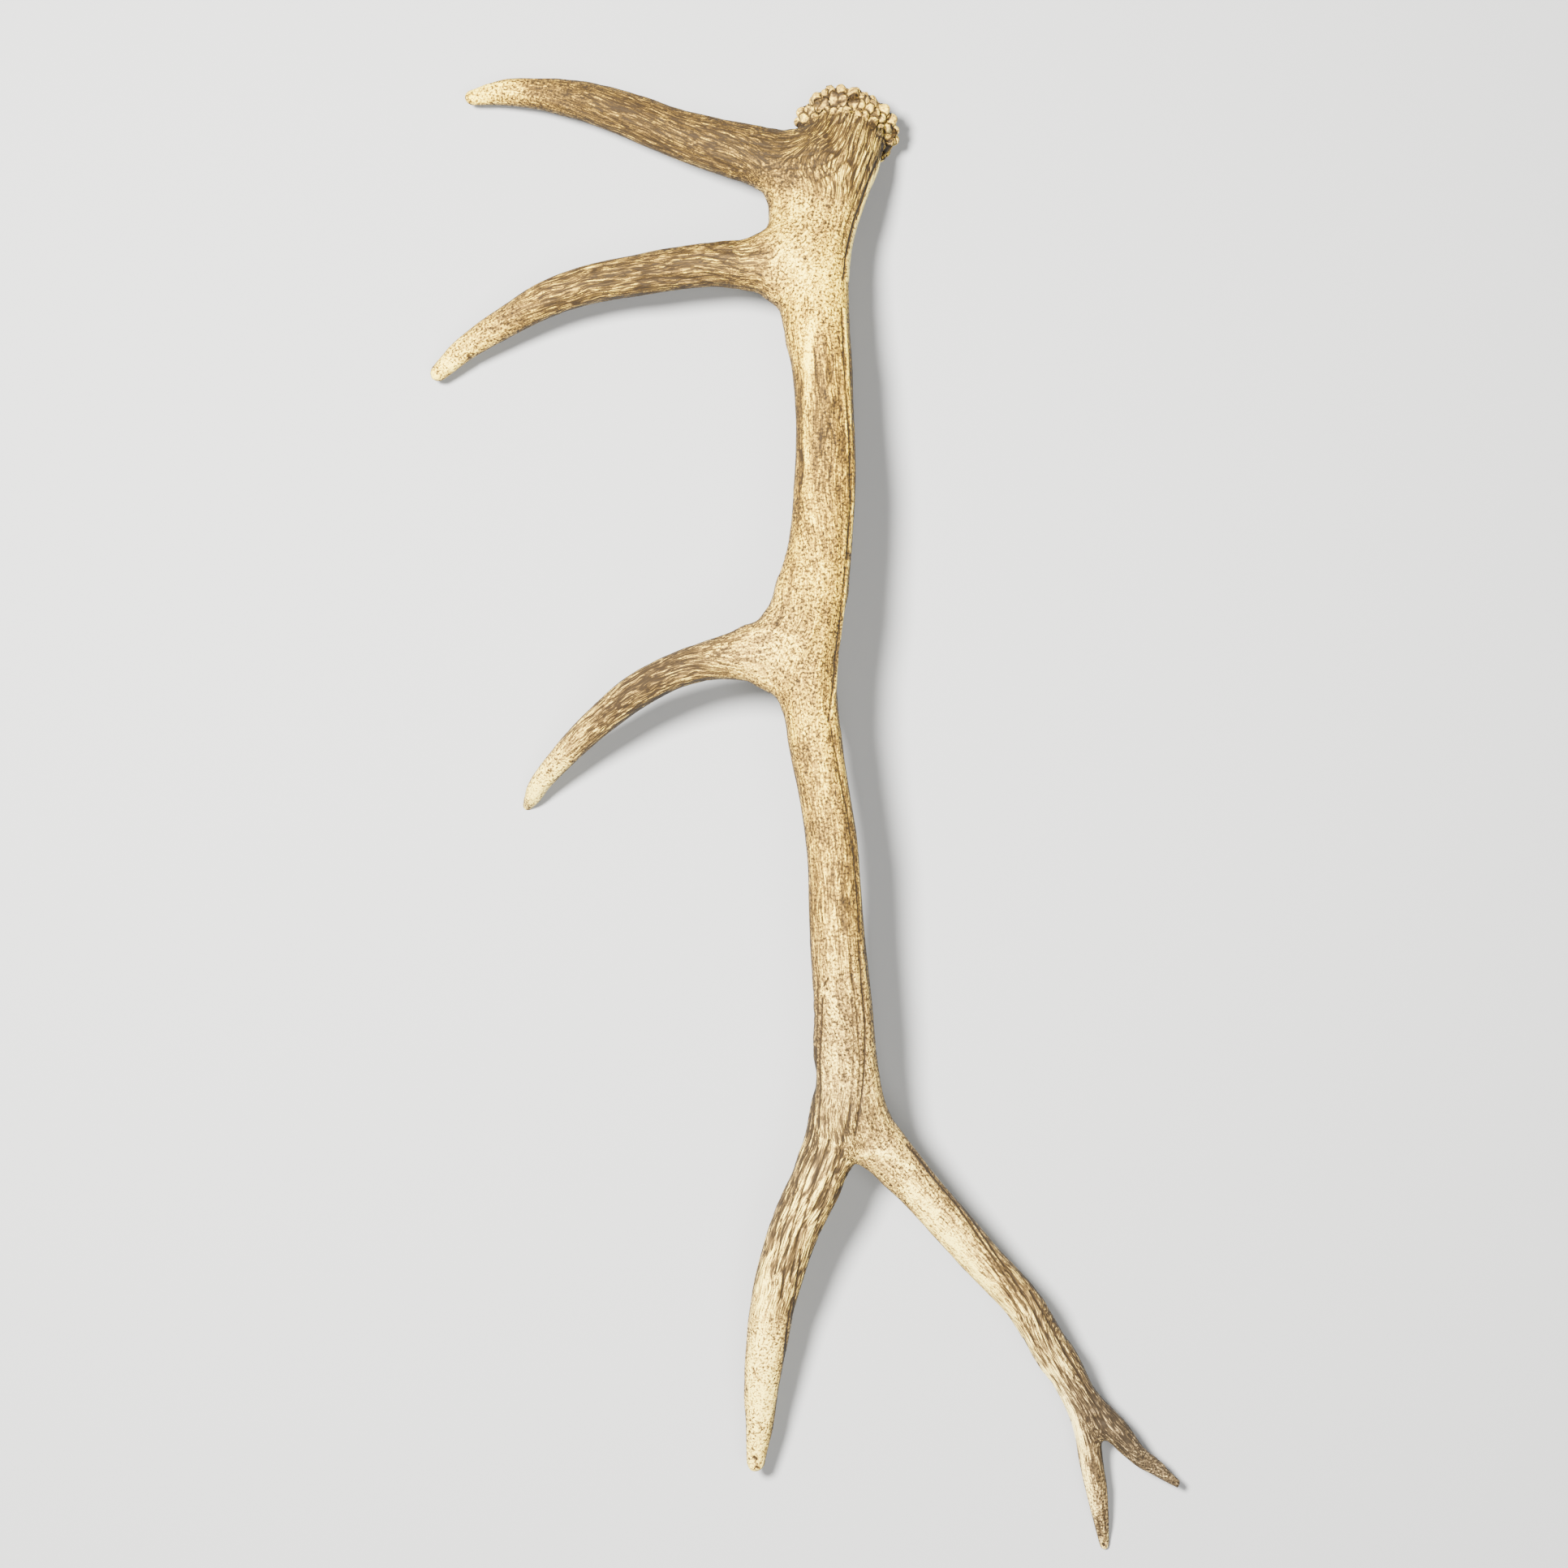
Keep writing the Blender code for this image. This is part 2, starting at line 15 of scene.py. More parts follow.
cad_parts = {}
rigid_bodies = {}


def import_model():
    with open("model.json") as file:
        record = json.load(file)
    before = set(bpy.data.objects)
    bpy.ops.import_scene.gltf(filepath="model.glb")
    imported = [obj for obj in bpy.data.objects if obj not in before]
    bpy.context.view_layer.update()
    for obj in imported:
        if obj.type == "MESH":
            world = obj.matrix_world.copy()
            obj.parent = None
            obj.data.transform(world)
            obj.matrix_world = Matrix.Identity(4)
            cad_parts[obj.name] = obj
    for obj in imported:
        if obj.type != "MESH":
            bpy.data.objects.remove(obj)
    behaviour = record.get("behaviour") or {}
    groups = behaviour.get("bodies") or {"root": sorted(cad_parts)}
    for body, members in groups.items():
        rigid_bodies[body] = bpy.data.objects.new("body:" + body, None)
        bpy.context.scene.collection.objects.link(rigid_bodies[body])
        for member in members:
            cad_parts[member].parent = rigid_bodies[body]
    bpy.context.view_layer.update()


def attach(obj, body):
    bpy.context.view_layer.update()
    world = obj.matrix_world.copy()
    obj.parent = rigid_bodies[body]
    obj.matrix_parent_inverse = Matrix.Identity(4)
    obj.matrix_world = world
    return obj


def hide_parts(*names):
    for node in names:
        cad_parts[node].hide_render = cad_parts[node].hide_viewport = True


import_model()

MM = 0.001

# -------- the branches

# Places on each middle line: x, y, z, half width and half depth.
BEAM = (
    (33.5, 556.5, 32.7, 33, 33), (32.5, 545, 42, 31, 31),
    (29.5, 526, 53, 28.8, 27.5), (23.2, 499, 66, 25.7, 25),
    (15, 466, 77, 24, 23.5), (10.4, 429, 87, 24.2, 23),
    (8.6, 391, 96, 26.2, 23), (12.4, 358, 104, 23.9, 22.5),
    (14.6, 324, 110, 23.2, 22), (14.6, 260, 121, 24.1, 22),
    (9.4, 203, 128, 25.4, 22), (4.2, 178, 130.5, 28.5, 21.8),
    (5, 150, 132, 22.9, 21.5), (1.8, 109, 134, 22.6, 21),
    (5.8, 71, 134, 20.9, 20), (13.2, 27, 132, 19.8, 19),
    (20.3, -23, 128, 20.1, 19), (24.2, -86, 121, 21.4, 19.5),
    (29.1, -148, 113, 23, 19.5), (31.8, -194, 106, 25, 19),
    (41, -230, 102, 26, 17.5), (64.6, -261, 96, 20, 16.8),
    (86, -284.6, 91, 17, 16), (112, -314, 83, 16.4, 15.5),
    (141, -348, 73, 15.9, 15), (172, -382, 62, 15.4, 14.5),
    (193, -416, 53, 15.3, 14), (213.5, -449.2, 44, 15.8, 13.5),
    (224, -478, 37, 12.8, 12), (229.2, -505, 30, 10.9, 10.6),
    (235, -537, 22, 9.5, 9), (240.5, -569, 13, 6.1, 5.9),
    (243.8, -588, 4.5, 4, 3.6),
)
PALM = (
    (-9.5, 512, 63, 23, 19), (-8.5, 483, 70, 21.5, 19.5),
    (-4, 452, 79, 24, 19.5),
)
BROW_TINE = (
    (11, 523, 59, 31, 22), (-21, 525, 59, 26.5, 20.5),
    (-50, 533.2, 57, 22.9, 19), (-82, 543.2, 52, 20.7, 18),
    (-115, 555.1, 47, 18.5, 17), (-148, 568.4, 42, 17.1, 16),
    (-181, 579.6, 36, 15.4, 14.3), (-214, 585.9, 30, 12.4, 12),
    (-247, 588.3, 23, 9.9, 9.6), (-265.6, 586.2, 18.7, 6.9, 6.7),
)
BEZ_TINE = (
    (-4, 434, 87, 36, 19.5), (-20, 437.5, 86, 32, 19),
    (-31, 440, 85, 27.5, 18.5), (-45, 439.5, 84, 21.2, 18),
    (-58, 439.5, 82.5, 18.6, 17.2), (-72, 439.5, 81, 17.4, 16.5),
    (-104, 437, 76, 16.7, 15.5), (-137, 432.5, 70, 15.7, 15),
    (-176, 426.2, 61, 15.3, 14.7), (-212, 414.6, 51, 14.1, 13.5),
    (-245, 397.6, 40, 12.1, 11.8), (-276, 379.3, 29, 9.6, 9.4),
    (-294.2, 364.7, 21, 7.4, 7),
)
TREZ_TINE = (
    (-4, 138, 132, 48, 18), (-20, 132.5, 130, 42, 18),
    (-30, 130.5, 129, 34, 18), (-44, 130.5, 127, 23.4, 17.5),
    (-54, 129, 124.3, 19.2, 16.5), (-65, 127.4, 121, 16.7, 15.5),
    (-97, 119.8, 109, 14.1, 14), (-129, 105, 92, 13.9, 13.2),
    (-161.7, 81.7, 70, 12.2, 12), (-195, 51, 43, 10.2, 10.2),
    (-213, 31.8, 27, 8.3, 8), (-222.5, 17.5, 10.5, 6, 5.2),
    (-225.5, 13.1, 3.3, 4.2, 3.6),
)
ROYAL_TINE = (
    (28.5, -218, 105, 24, 16.5), (12.1, -273, 96, 21.3, 17),
    (-6.3, -314, 87, 19.8, 17), (-17.1, -347, 79, 19, 16.6),
    (-25.5, -381, 70, 17.8, 16.2), (-30.2, -414, 61, 16.3, 15.2),
    (-34.9, -449, 52, 14.2, 13.7), (-36.6, -483, 43, 11.2, 10.8),
    (-39.3, -512, 35.5, 7.5, 7),
)
CROWN_TINE = (
    (219, -461, 42, 13, 10.5), (246.5, -485.7, 39, 12.2, 10.8),
    (265.7, -509.2, 34, 8.7, 8.4), (283, -521.4, 29, 6, 5.8),
    (299.3, -534.2, 23.2, 3.4, 3.3),
)
BRANCHES = {
    "beam": BEAM,
    "palm": PALM,
    "brow": BROW_TINE,
    "bez": BEZ_TINE,
    "trez": TREZ_TINE,
    "royal": ROYAL_TINE,
    "crown": CROWN_TINE,
}
FORK_BLEND = {"palm": 14, "brow": 24, "bez": 27, "trez": 27, "royal": 25, "crown": 8}
# The middle of the underside of the box, which goes to the origin.
BOX_FOOT = np.array((-1.2, 4.5, 1))
# How far a foot's end reaches, and a tip's in half widths.
FOOT_CAP = 8
TIP_LENGTH = 1.3
# The spacing of a middle line's rows, and the share of a section that is its core.
STEP = 3
CORE = 0.05

# The burr: a ring of pearls around the beam's foot, and the domed seal inside it.
BURR_AXIS = (0.115, 0.76, -0.64)
SEAL_DOME = 9
FLANGE_RADIUS = 30
FLANGE_HALF = (7, 8.5)
# How far its rim stands out at each angle around the beam.
RIM = (
    (0, 2.5), (25, 1), (50, -1), (90, 0), (115, 3), (150, 0),
    (180, 1.5), (225, 0.5), (270, 1), (325, -4), (360, 2.5),
)
# Rows of pearls: how many, radius, height, and half sizes outwards, around and along the beam.
PEARL_ROWS = (
    (32, 34.6, -0.5, (6, 4.1, 5.4)),
    (29, 34, -8, (5.2, 4, 5.8)),
    (28, 31.4, -15.5, (3.9, 3.3, 7.2)),
    (30, 33.2, 6.8, (4.5, 3.9, 4.4)),
)
# How uneven they are: around as a share of the spacing, outwards, along, and in size.
PEARL_TURN = 0.3
PEARL_SHIFT_OUT = (-0.96, 0.96)
PEARL_SHIFT = (-1.6, 1.6)
PEARL_SIZE = (0.75, 1.25)
PEARL_BLEND = 1.2
BURR_BLANK = (40, 40, 11)
# Where the burr begins and ends along the beam, and how far out it begins.
BURR_BAND = (-20, 13)
BURR_INNER = 27
FLANGE_BLEND = 9
BURR_REACH = 58

# The blank's grid, and the fewest vertices that a piece has.
VOXEL = 1.8
CRUMB = 1000
# Moving on to the surface: the step that measures the slope, the least slope, the longest leap.
PROBE = 0.05
FLATTEST = 0.2
LEAP = 4
SUBDIVISION = {"levels": 1, "render_levels": 1, "quality": 1, "use_limit_surface": False}
# How far around a fork its crotch is smoothed, how often, and how far from the burr.
FORK_REACH = 30
FORK_EASE = 60
BURR_CLEAR = (50, 70)

# The cuts between the pieces: branch, distance along it, and reach around it.
CUTS = (
    ("brow", 48, 34), ("bez", 44, 32), ("trez", 46, 28),
    ("royal", 70, 30), ("crown", 47, 13.5), ("beam", 218, 36),
    ("beam", 537, 32), ("beam", 872, 28),
)
# Each node, and its middle.
NODES = {
    "lower_beam": (15, 470, 75),
    "middle_beam": (8, 200, 127),
    "upper_beam": (25, -110, 118),
    "brow_tine": (-130, 560, 45),
    "bez_tine": (-165, 425, 63),
    "trez_tine": (-130, 100, 90),
    "royal_tine": (-20, -385, 70),
    "crown_beam": (180, -420, 55),
    "crown_tine": (268, -507, 34),
}

# -------- the surface

# Along each branch: distance, tone (0 is ivory, 1 dark brown) and roughness.
FINISH = {
    "beam": (
        (0, 0.46, 0.95), (25, 0.31, 0.9), (45, 0.24, 0.75), (90, 0.25, 0.25),
        (150, 0.2, 0.15), (230, 0.34, 0.3), (280, 0.47, 0.27), (330, 0.42, 0.27),
        (420, 0.24, 0.2), (520, 0.32, 0.25), (640, 0.33, 0.3), (740, 0.29, 0.24),
        (800, 0.27, 0.26), (860, 0.25, 0.22), (1000, 0.26, 0.35), (1100, 0.23, 0.45),
        (1200, 0.46, 0.25), (1250, 0.12, 0),
    ),
    "palm": ((0, 0.4, 0.2), (60, 0.18, 0.15)),
    "brow": ((0, 0.78, 0.4), (60, 0.82, 0.35), (180, 0.8, 0.35), (240, 0.57, 0.25), (285, 0.22, 0)),
    "bez": ((0, 0.28, 0.2), (60, 0.48, 0.45), (150, 0.52, 0.5), (230, 0.4, 0.3), (310, 0.12, 0)),
    "trez": ((0, 0.22, 0.15), (60, 0.4, 0.35), (130, 0.52, 0.45), (220, 0.26, 0.3), (270, 0.04, 0)),
    "royal": (
        (0, 0.28, 0.4), (70, 0.18, 0.55), (160, 0.14, 0.45), (210, 0.12, 0.1), (320, 0.06, 0),
    ),
    "crown": ((0, 0.66, 0.5), (50, 1.06, 0.35), (100, 1.06, 0.2)),
}

# Along each branch: distance, and how golden the bone is.
WARMTH = {
    "beam": (
        (0, 0.98), (60, 1), (150, 1.06), (330, 1.06),
        (640, 1.02), (740, 0.92), (1000, 0.9), (1100, 0.8),
    ),
    "palm": ((0, 1.02), (60, 1.04)),
    "brow": ((0, 1.02), (300, 1.04)),
    "bez": ((0, 1.02), (300, 1)),
    "trez": ((0, 0.98), (260, 0.92)),
    "royal": ((0, 0.9), (300, 0.92)),
    "crown": ((0, 0.7), (90, 0.7)),
}

# Where each tine leaves the beam, and on which side.
FORKS = {
    "brow": (38, -1), "bez": (137, -1), "trez": (438, -1), "royal": (808, -1), "crown": (1118, 1),
}
# Half the length of the fibres' bend into a tine, and how many of these before it they spread.
GRAIN_BEND = 34
GRAIN_LEAD = 3.5
# Where the palm makes the beam wider on its left side, and by how much.
PALM_START = (32, 60)
PALM_END = (120, 165)
PALM_WIDTH = 0.95
# Where along a tine its own fibres take over.
TINE_ROOT = (4, 46)
# How softly one branch gives way to the next.
SHARE_WIDTH = 7
# How far across and up the fibres are followed, in half widths.
FIBRE_LIMITS = (2.4, 2)
# Fibres that spread more than this have no clear direction.
KNOT_SPREAD = (0.3, 0.65)
KNOT_PASSES = 8
# The fibres' waves: height, length and seed.
FIBRE_WAVES = ((1.5, 17, 3), (0.5, 6, 6))

# Patches, in the grid's squares: across, down, half length, half width, turn, tone. Most are the
# bone's own stains and pale spots; the pale ones around the palm by the bez fork, the pale strips
# down the middle of the beam and the pale one at the royal fork's lip are painted highlights, and
# the dark one beside the burr's right rim is a painted shadow under it.
PATCH_STRENGTH = 0.7
PATCHES = (
    (988, 143, 9, 7, 0, -0.5), (1096, 184, 12, 8, 60, 0.3), (970, 314, 34, 17, 60, -0.45),
    (1000, 345, 14, 26, 0, -0.25), (990, 262, 34, 20, 0, -0.15), (958, 216, 34, 15, -10, 0.3),
    (905, 196, 40, 14, 22, 0.3), (850, 172, 46, 16, 24, 0.22), (790, 148, 46, 15, 24, 0.25),
    (735, 126, 34, 13, 20, 0.18), (620, 112, 42, 12, 0, -0.3), (878, 330, 30, 12, 5, 0.25),
    (815, 338, 36, 12, 8, 0.28), (740, 342, 36, 12, 18, 0.15), (670, 366, 34, 10, 32, 0.12),
    (555, 450, 22, 9, 45, -0.25), (996, 560, 90, 9, 88, 0.22), (1018, 430, 40, 12, 88, 0.1),
    (1026, 590, 60, 12, 88, 0.04), (1000, 700, 40, 16, 80, -0.12), (968, 805, 24, 20, 20, -0.28),
    (900, 800, 34, 12, -10, -0.05), (820, 826, 44, 13, -28, 0.25), (760, 868, 34, 10, -42, 0.12),
    (700, 930, 34, 9, -52, -0.22), (660, 985, 20, 9, -70, -0.4), (1015, 950, 60, 12, 84, -0.2),
    (1024, 1180, 90, 8, 88, -0.2), (1040, 1120, 60, 10, 86, 0.12), (1022, 1100, 80, 7, 88, -0.15),
    (1028, 1310, 90, 8, 92, -0.2), (1006, 1300, 70, 9, 90, 0.2), (1085, 1420, 22, 11, 20, -0.2),
    (990, 1430, 60, 8, -62, 0.25), (975, 1470, 60, 8, -66, 0.25), (940, 1590, 60, 12, -80, -0.22),
    (1000, 1450, 70, 20, -66, -0.15), (938, 1720, 80, 22, -86, -0.35),
    (1340, 1760, 50, 8, -74, 0.1), (1352, 1820, 50, 12, -78, 0.12), (1358, 1872, 24, 10, -80, 0.3),
    (1390, 1770, 40, 12, -48, 0.2),
)

# Single marks: half width in squares, tone, height, and the line's places in turn.
MARK_STRENGTH = 1.3
MARKS = (
    # Pale ridges along the beam's right edge, painted as highlights of its lit rim, and dark
    # grooves beside them.
    (2.2, -0.6, 0.6, 1085, 197, 1070, 235, 1056, 275, 1048, 310, 1044, 345),
    (1.3, 0.45, -0.5, 1079, 200, 1065, 235, 1051, 275, 1043, 310, 1039, 345),
    (1.5, -0.35, 0.5, 1040, 380, 1043, 430, 1047, 500, 1050, 560, 1051, 620, 1048, 680),
    (1.3, 0.4, -0.5, 1037, 380, 1039, 430, 1043, 500, 1047, 560, 1048, 630, 1044, 690),
    (1.5, -0.25, 0.4, 1036, 440, 1041, 480, 1042, 520, 1044, 560),
    (1.3, 0.4, -0.5, 1049, 380, 1052, 440, 1055, 520, 1056, 600, 1052, 660),
    (1.5, -0.35, 0.5, 1046, 690, 1040, 740, 1035, 790, 1030, 840, 1024, 880),
    (1.3, 0.35, -0.4, 1042, 700, 1037, 750, 1031, 800, 1026, 850, 1021, 890),
    (1.2, 0.35, -0.5, 1025, 900, 1034, 950, 1044, 1000, 1052, 1050, 1056, 1100, 1059, 1150),
    (1.2, -0.2, 0.3, 1036, 900, 1045, 950, 1052, 1000, 1058, 1060, 1061, 1120),
    (1.2, 0.45, -0.6, 1058, 1160, 1062, 1210, 1066, 1260, 1066, 1310, 1062, 1350, 1054, 1400),
    (1.2, 0.3, -0.4, 1050, 1200, 1056, 1250, 1060, 1300, 1058, 1350),
    # Lines from the neck into the brow tine and down the beam.
    (1.2, 0.26, -0.5, 1008, 148, 985, 157, 955, 160, 920, 156, 892, 150),
    (1.2, 0.28, -0.5, 1022, 146, 1004, 160, 978, 169, 944, 170, 905, 163),
    (1.2, 0.28, -0.5, 1034, 150, 1016, 168, 990, 179, 955, 182, 912, 175),
    (1.2, 0.28, -0.5, 1043, 157, 1028, 176, 1003, 190, 968, 195, 925, 188),
    (1.2, 0.3, -0.6, 1051, 165, 1038, 186, 1016, 202, 985, 209, 948, 206),
    (1.1, 0.28, -0.5, 1058, 172, 1047, 194, 1028, 212, 1006, 222),
    (1.1, 0.28, -0.5, 1064, 178, 1054, 202, 1040, 222),
    (1.1, 0.26, -0.5, 1070, 184, 1061, 210, 1048, 235, 1036, 260),
    (1.2, 0.28, -0.5, 1076, 188, 1067, 214, 1056, 242, 1045, 272, 1037, 305),
    (1.2, 0.28, -0.5, 1082, 194, 1073, 218, 1062, 248, 1052, 280, 1044, 312),
    # Crossed vessel marks and scratches, and a broad pale band down the beam that is a painted
    # highlight.
    (1, 0.32, -0.4, 1023, 522, 1016, 545, 1012, 562),
    (1, 0.28, -0.3, 1016, 508, 1024, 525, 1030, 548),
    (1, 0.3, -0.3, 1034, 492, 1019, 506),
    (6, -0.3, 0, 1000, 395, 996, 450, 994, 520, 996, 580, 1000, 640),
    (1, 0.3, -0.3, 1026, 462, 1013, 490),
    (1.1, 0.35, -0.3, 1003, 430, 1006, 460, 1009, 476),
    # The dark left edge of the beam: painted shade, partly also the bone's own darker colour.
    (3, 0.22, 0, 984, 480, 983, 520, 986, 560, 984, 600, 983, 650),
    (2, 0.3, -0.4, 986, 555, 990, 572, 987, 596),
    (3, 0.18, 0, 978, 690, 972, 730, 960, 765, 945, 785),
    # Grooves on the upper beam's left side.
    (1.5, 0.4, -0.6, 1013, 1230, 1012, 1270, 1010, 1300, 1010, 1345, 1008, 1390),
    (1.2, 0.4, -0.5, 1020, 1205, 1015, 1215),
    (1.4, 0.35, -0.5, 1004, 1290, 1004, 1340, 1000, 1390, 993, 1420),
    (1, 0.34, -0.1, 1007, 1205, 1008, 1250, 1006, 1300, 1002, 1350, 994, 1400),
    (1, 0.26, -0.3, 1047, 1160, 1050, 1220, 1052, 1280, 1050, 1340, 1044, 1400),
    # Flow lines of the trez fork.
    (1.2, -0.18, 0.4, 925, 780, 950, 776, 975, 788, 990, 805),
    (1.2, 0.22, -0.3, 928, 772, 955, 768, 985, 782),
    (1.2, 0.22, -0.3, 930, 792, 950, 790, 965, 800, 975, 818),
    # The hollow and the pale lip of the royal fork, with painted shade in and beside the hollow and
    # a painted highlight on the lip.
    (9, 0.05, -2.2, 1052, 1392, 1060, 1412, 1064, 1424),
    (2.2, 0.3, -0.6, 1050, 1360, 1040, 1395, 1036, 1425, 1030, 1452),
    (4, -0.22, 1.2, 1058, 1428, 1075, 1420, 1100, 1424, 1125, 1440),
    # Long grooves down the royal tine.
    (1.2, 0.42, -0.8, 1022, 1405, 1010, 1440, 998, 1475, 988, 1510, 980, 1545, 974, 1580),
    (1.2, 0.42, -0.8, 1008, 1415, 994, 1450, 983, 1485, 974, 1520, 967, 1560, 963, 1600),
    (1.1, 0.38, -0.6, 997, 1420, 982, 1455, 972, 1490, 962, 1525, 955, 1570),
    (1.1, 0.36, -0.5, 984, 1425, 969, 1460, 958, 1500, 950, 1540),
    (1.1, 0.36, -0.6, 1030, 1440, 1018, 1475, 1006, 1510, 996, 1550),
    (1.4, 0.42, -0.7, 987, 1540, 982, 1580, 977, 1620, 974, 1660, 970, 1700),
    (1.4, 0.36, -0.6, 976, 1600, 970, 1640, 966, 1690),
    (1, 0.22, -0.2, 925, 1690, 950, 1712),
    (1, 0.2, -0.2, 930, 1672, 958, 1690),
    # Painted shade down the right side of the royal tine's tip.
    (7, 0.16, 0, 966, 1640, 962, 1700, 955, 1760, 944, 1800),
    (2.6, 0.4, -0.5, 929, 1795, 932, 1797),
    (2.2, 0.36, -0.4, 931, 1807, 934, 1808),
    # The crown beam: pale on the left, with dark grooves down the right.
    (11, -0.34, 0, 1120, 1465, 1170, 1525, 1215, 1585, 1255, 1650, 1290, 1710, 1325, 1765),
    (8, 0.14, 0, 1140, 1410, 1200, 1485, 1250, 1553, 1292, 1612, 1322, 1662, 1362, 1732),
    (1.6, 0.4, -0.8, 1118, 1410, 1150, 1450, 1180, 1485, 1205, 1520, 1228, 1555, 1252, 1592),
    (1.6, 0.4, -0.8, 1160, 1452, 1190, 1490, 1218, 1530, 1242, 1565, 1268, 1605, 1292, 1650),
    (1.4, 0.34, -0.6, 1215, 1545, 1240, 1590, 1262, 1630, 1285, 1675, 1310, 1720),
    (1.6, 0.4, -0.8, 1270, 1590, 1292, 1628, 1312, 1665, 1334, 1700, 1350, 1728),
    (1.4, 0.34, -0.6, 1260, 1650, 1282, 1695, 1304, 1735, 1322, 1775),
    (8, -0.4, 0, 1290, 1690, 1300, 1716, 1322, 1752, 1332, 1790, 1338, 1830, 1346, 1862),
    # The crown fork's hollow and lip, with painted shade in the hollow and a painted highlight on
    # the lip, then stains and the spot at the tip.
    (4, 0.35, -1.4, 1352, 1748, 1358, 1752),
    (2.4, -0.1, 0.9, 1347, 1739, 1357, 1740, 1366, 1748),
    (2, 0.3, -0.3, 1352, 1868, 1356, 1892),
    (1.6, 0.3, -0.3, 1360, 1862, 1363, 1888),
    (1.6, 0.45, -0.4, 1359, 1902, 1361, 1904),
    # Grooves and knots on the bez tine, then its chipped tip and nick.
    (2, 0.36, -0.7, 842, 318, 860, 314, 880, 316, 892, 322),
    (1.6, 0.34, -0.6, 780, 332, 810, 326, 838, 328, 866, 332),
    (1.6, 0.34, -0.6, 790, 346, 822, 342, 850, 344, 878, 350),
    (1.5, 0.28, -0.5, 690, 352, 720, 344, 756, 340),
    (5, -0.45, -0.6, 531, 462, 536, 466),
    (2.6, 0.3, -0.8, 577, 439, 580, 442),
    # Dark edges and lines of the brow tine; the darkness along the edges is partly painted shade.
    (1.6, 0.26, -0.5, 905, 160, 870, 150, 830, 138, 790, 126, 750, 114),
    (1.6, 0.26, -0.5, 900, 186, 860, 172, 820, 160, 780, 148, 740, 134),
    (1.6, 0.3, -0.5, 925, 212, 890, 204, 850, 190, 815, 178, 780, 166),
)

# The relief: flutes on smooth bone and what roughness adds, lumps, grooves and clefts.
FLUTE_HEIGHT = (0.3, 0.6)
LUMP_HEIGHT = 0.4
GROOVE_DEPTH = 0.8
CLEFT_DEPTH = 0.5
# What each form adds to the tone, and the seal's own tone. Surfaces that face sideways are darkened
# with painted shade, which partly also stands for the bone's darker edges.
PATCH_TONE = 0.1
FLUTE_TONE = -0.06
FLANK_SHADE = 0.3
BEAD_TONE = -0.18
SEAL_TONE = 0.2
# How speckled smooth bone is, how grey the underside is, and how quiet the beads are.
SPECKLED = 0.65
UNDERSIDE_COOL = 0.25
BEAD_CALM = 0.85

# The bone's colours, and where each stands on the scale.
COLOURS = (
    (0, (0.9, 0.76, 0.13)),
    (0.2, (0.6, 0.44, 0.036)),
    (0.41, (0.28, 0.18, 0.032)),
    (0.62, (0.085, 0.052, 0.012)),
    (1, (0.018, 0.011, 0.004)),
)
# What the noises add on average, the darkest broad level, and how much it thickens the lines.
TONE_SHIFT = 0.27
DARKEST_LEVEL = 0.74
LINE_DENSITY = 0.19

# Colours of the lamps, the air and the floor, which is a neutral pale grey in the warm light.
LAMP_COLOUR = (1, 0.9, 0.74)
AIR_COLOUR = (1, 0.92, 0.8)
FLOOR_COLOUR = (0.285, 0.315, 0.373)

# The camera looks straight down on the antler.
CAMERA_HEIGHT = 2400
CAMERA_PLACE = (-15.8, 25.5)
VIEW_ANGLE = 29.84
# Marks are placed as the camera sees them, on a grid with this many squares each way.
GRID = 1932
# How wide a square is at each millimetre of distance from the camera.
SQUARE = 0.64 / 2320


# -------- the form as a field


def lengths(vectors):
    """How long each vector is."""
    return np.linalg.norm(vectors, axis=-1)


def unit(vectors):
    """The same vectors, one long."""
    return vectors / np.maximum(lengths(vectors)[..., None], 1e-9)


def smooth_path(stations):
    """A smooth curve through the stations, as rows every few millimetres."""
    rows = np.array(stations, float)
    rows[:, :3] -= BOX_FOOT
    chord = lengths(np.diff(rows[:, :3], axis=0))
    at = np.concatenate([[0], np.cumsum(chord)])
    slope = np.gradient(rows, at, axis=0)
    wanted = np.linspace(0, at[-1], int(at[-1] / STEP) + 1)
    cell = np.clip(np.searchsorted(at, wanted, side="right") - 1, 0, len(at) - 2)
    span = chord[cell][:, None]
    t = (wanted[:, None] - at[cell][:, None]) / span
    start = rows[cell] * (2 * t**3 - 3 * t**2 + 1) + slope[cell] * span * (t**3 - 2 * t**2 + t)
    end = rows[cell + 1] * (3 * t**2 - 2 * t**3) + slope[cell + 1] * span * (t**3 - t**2)
    return start + end


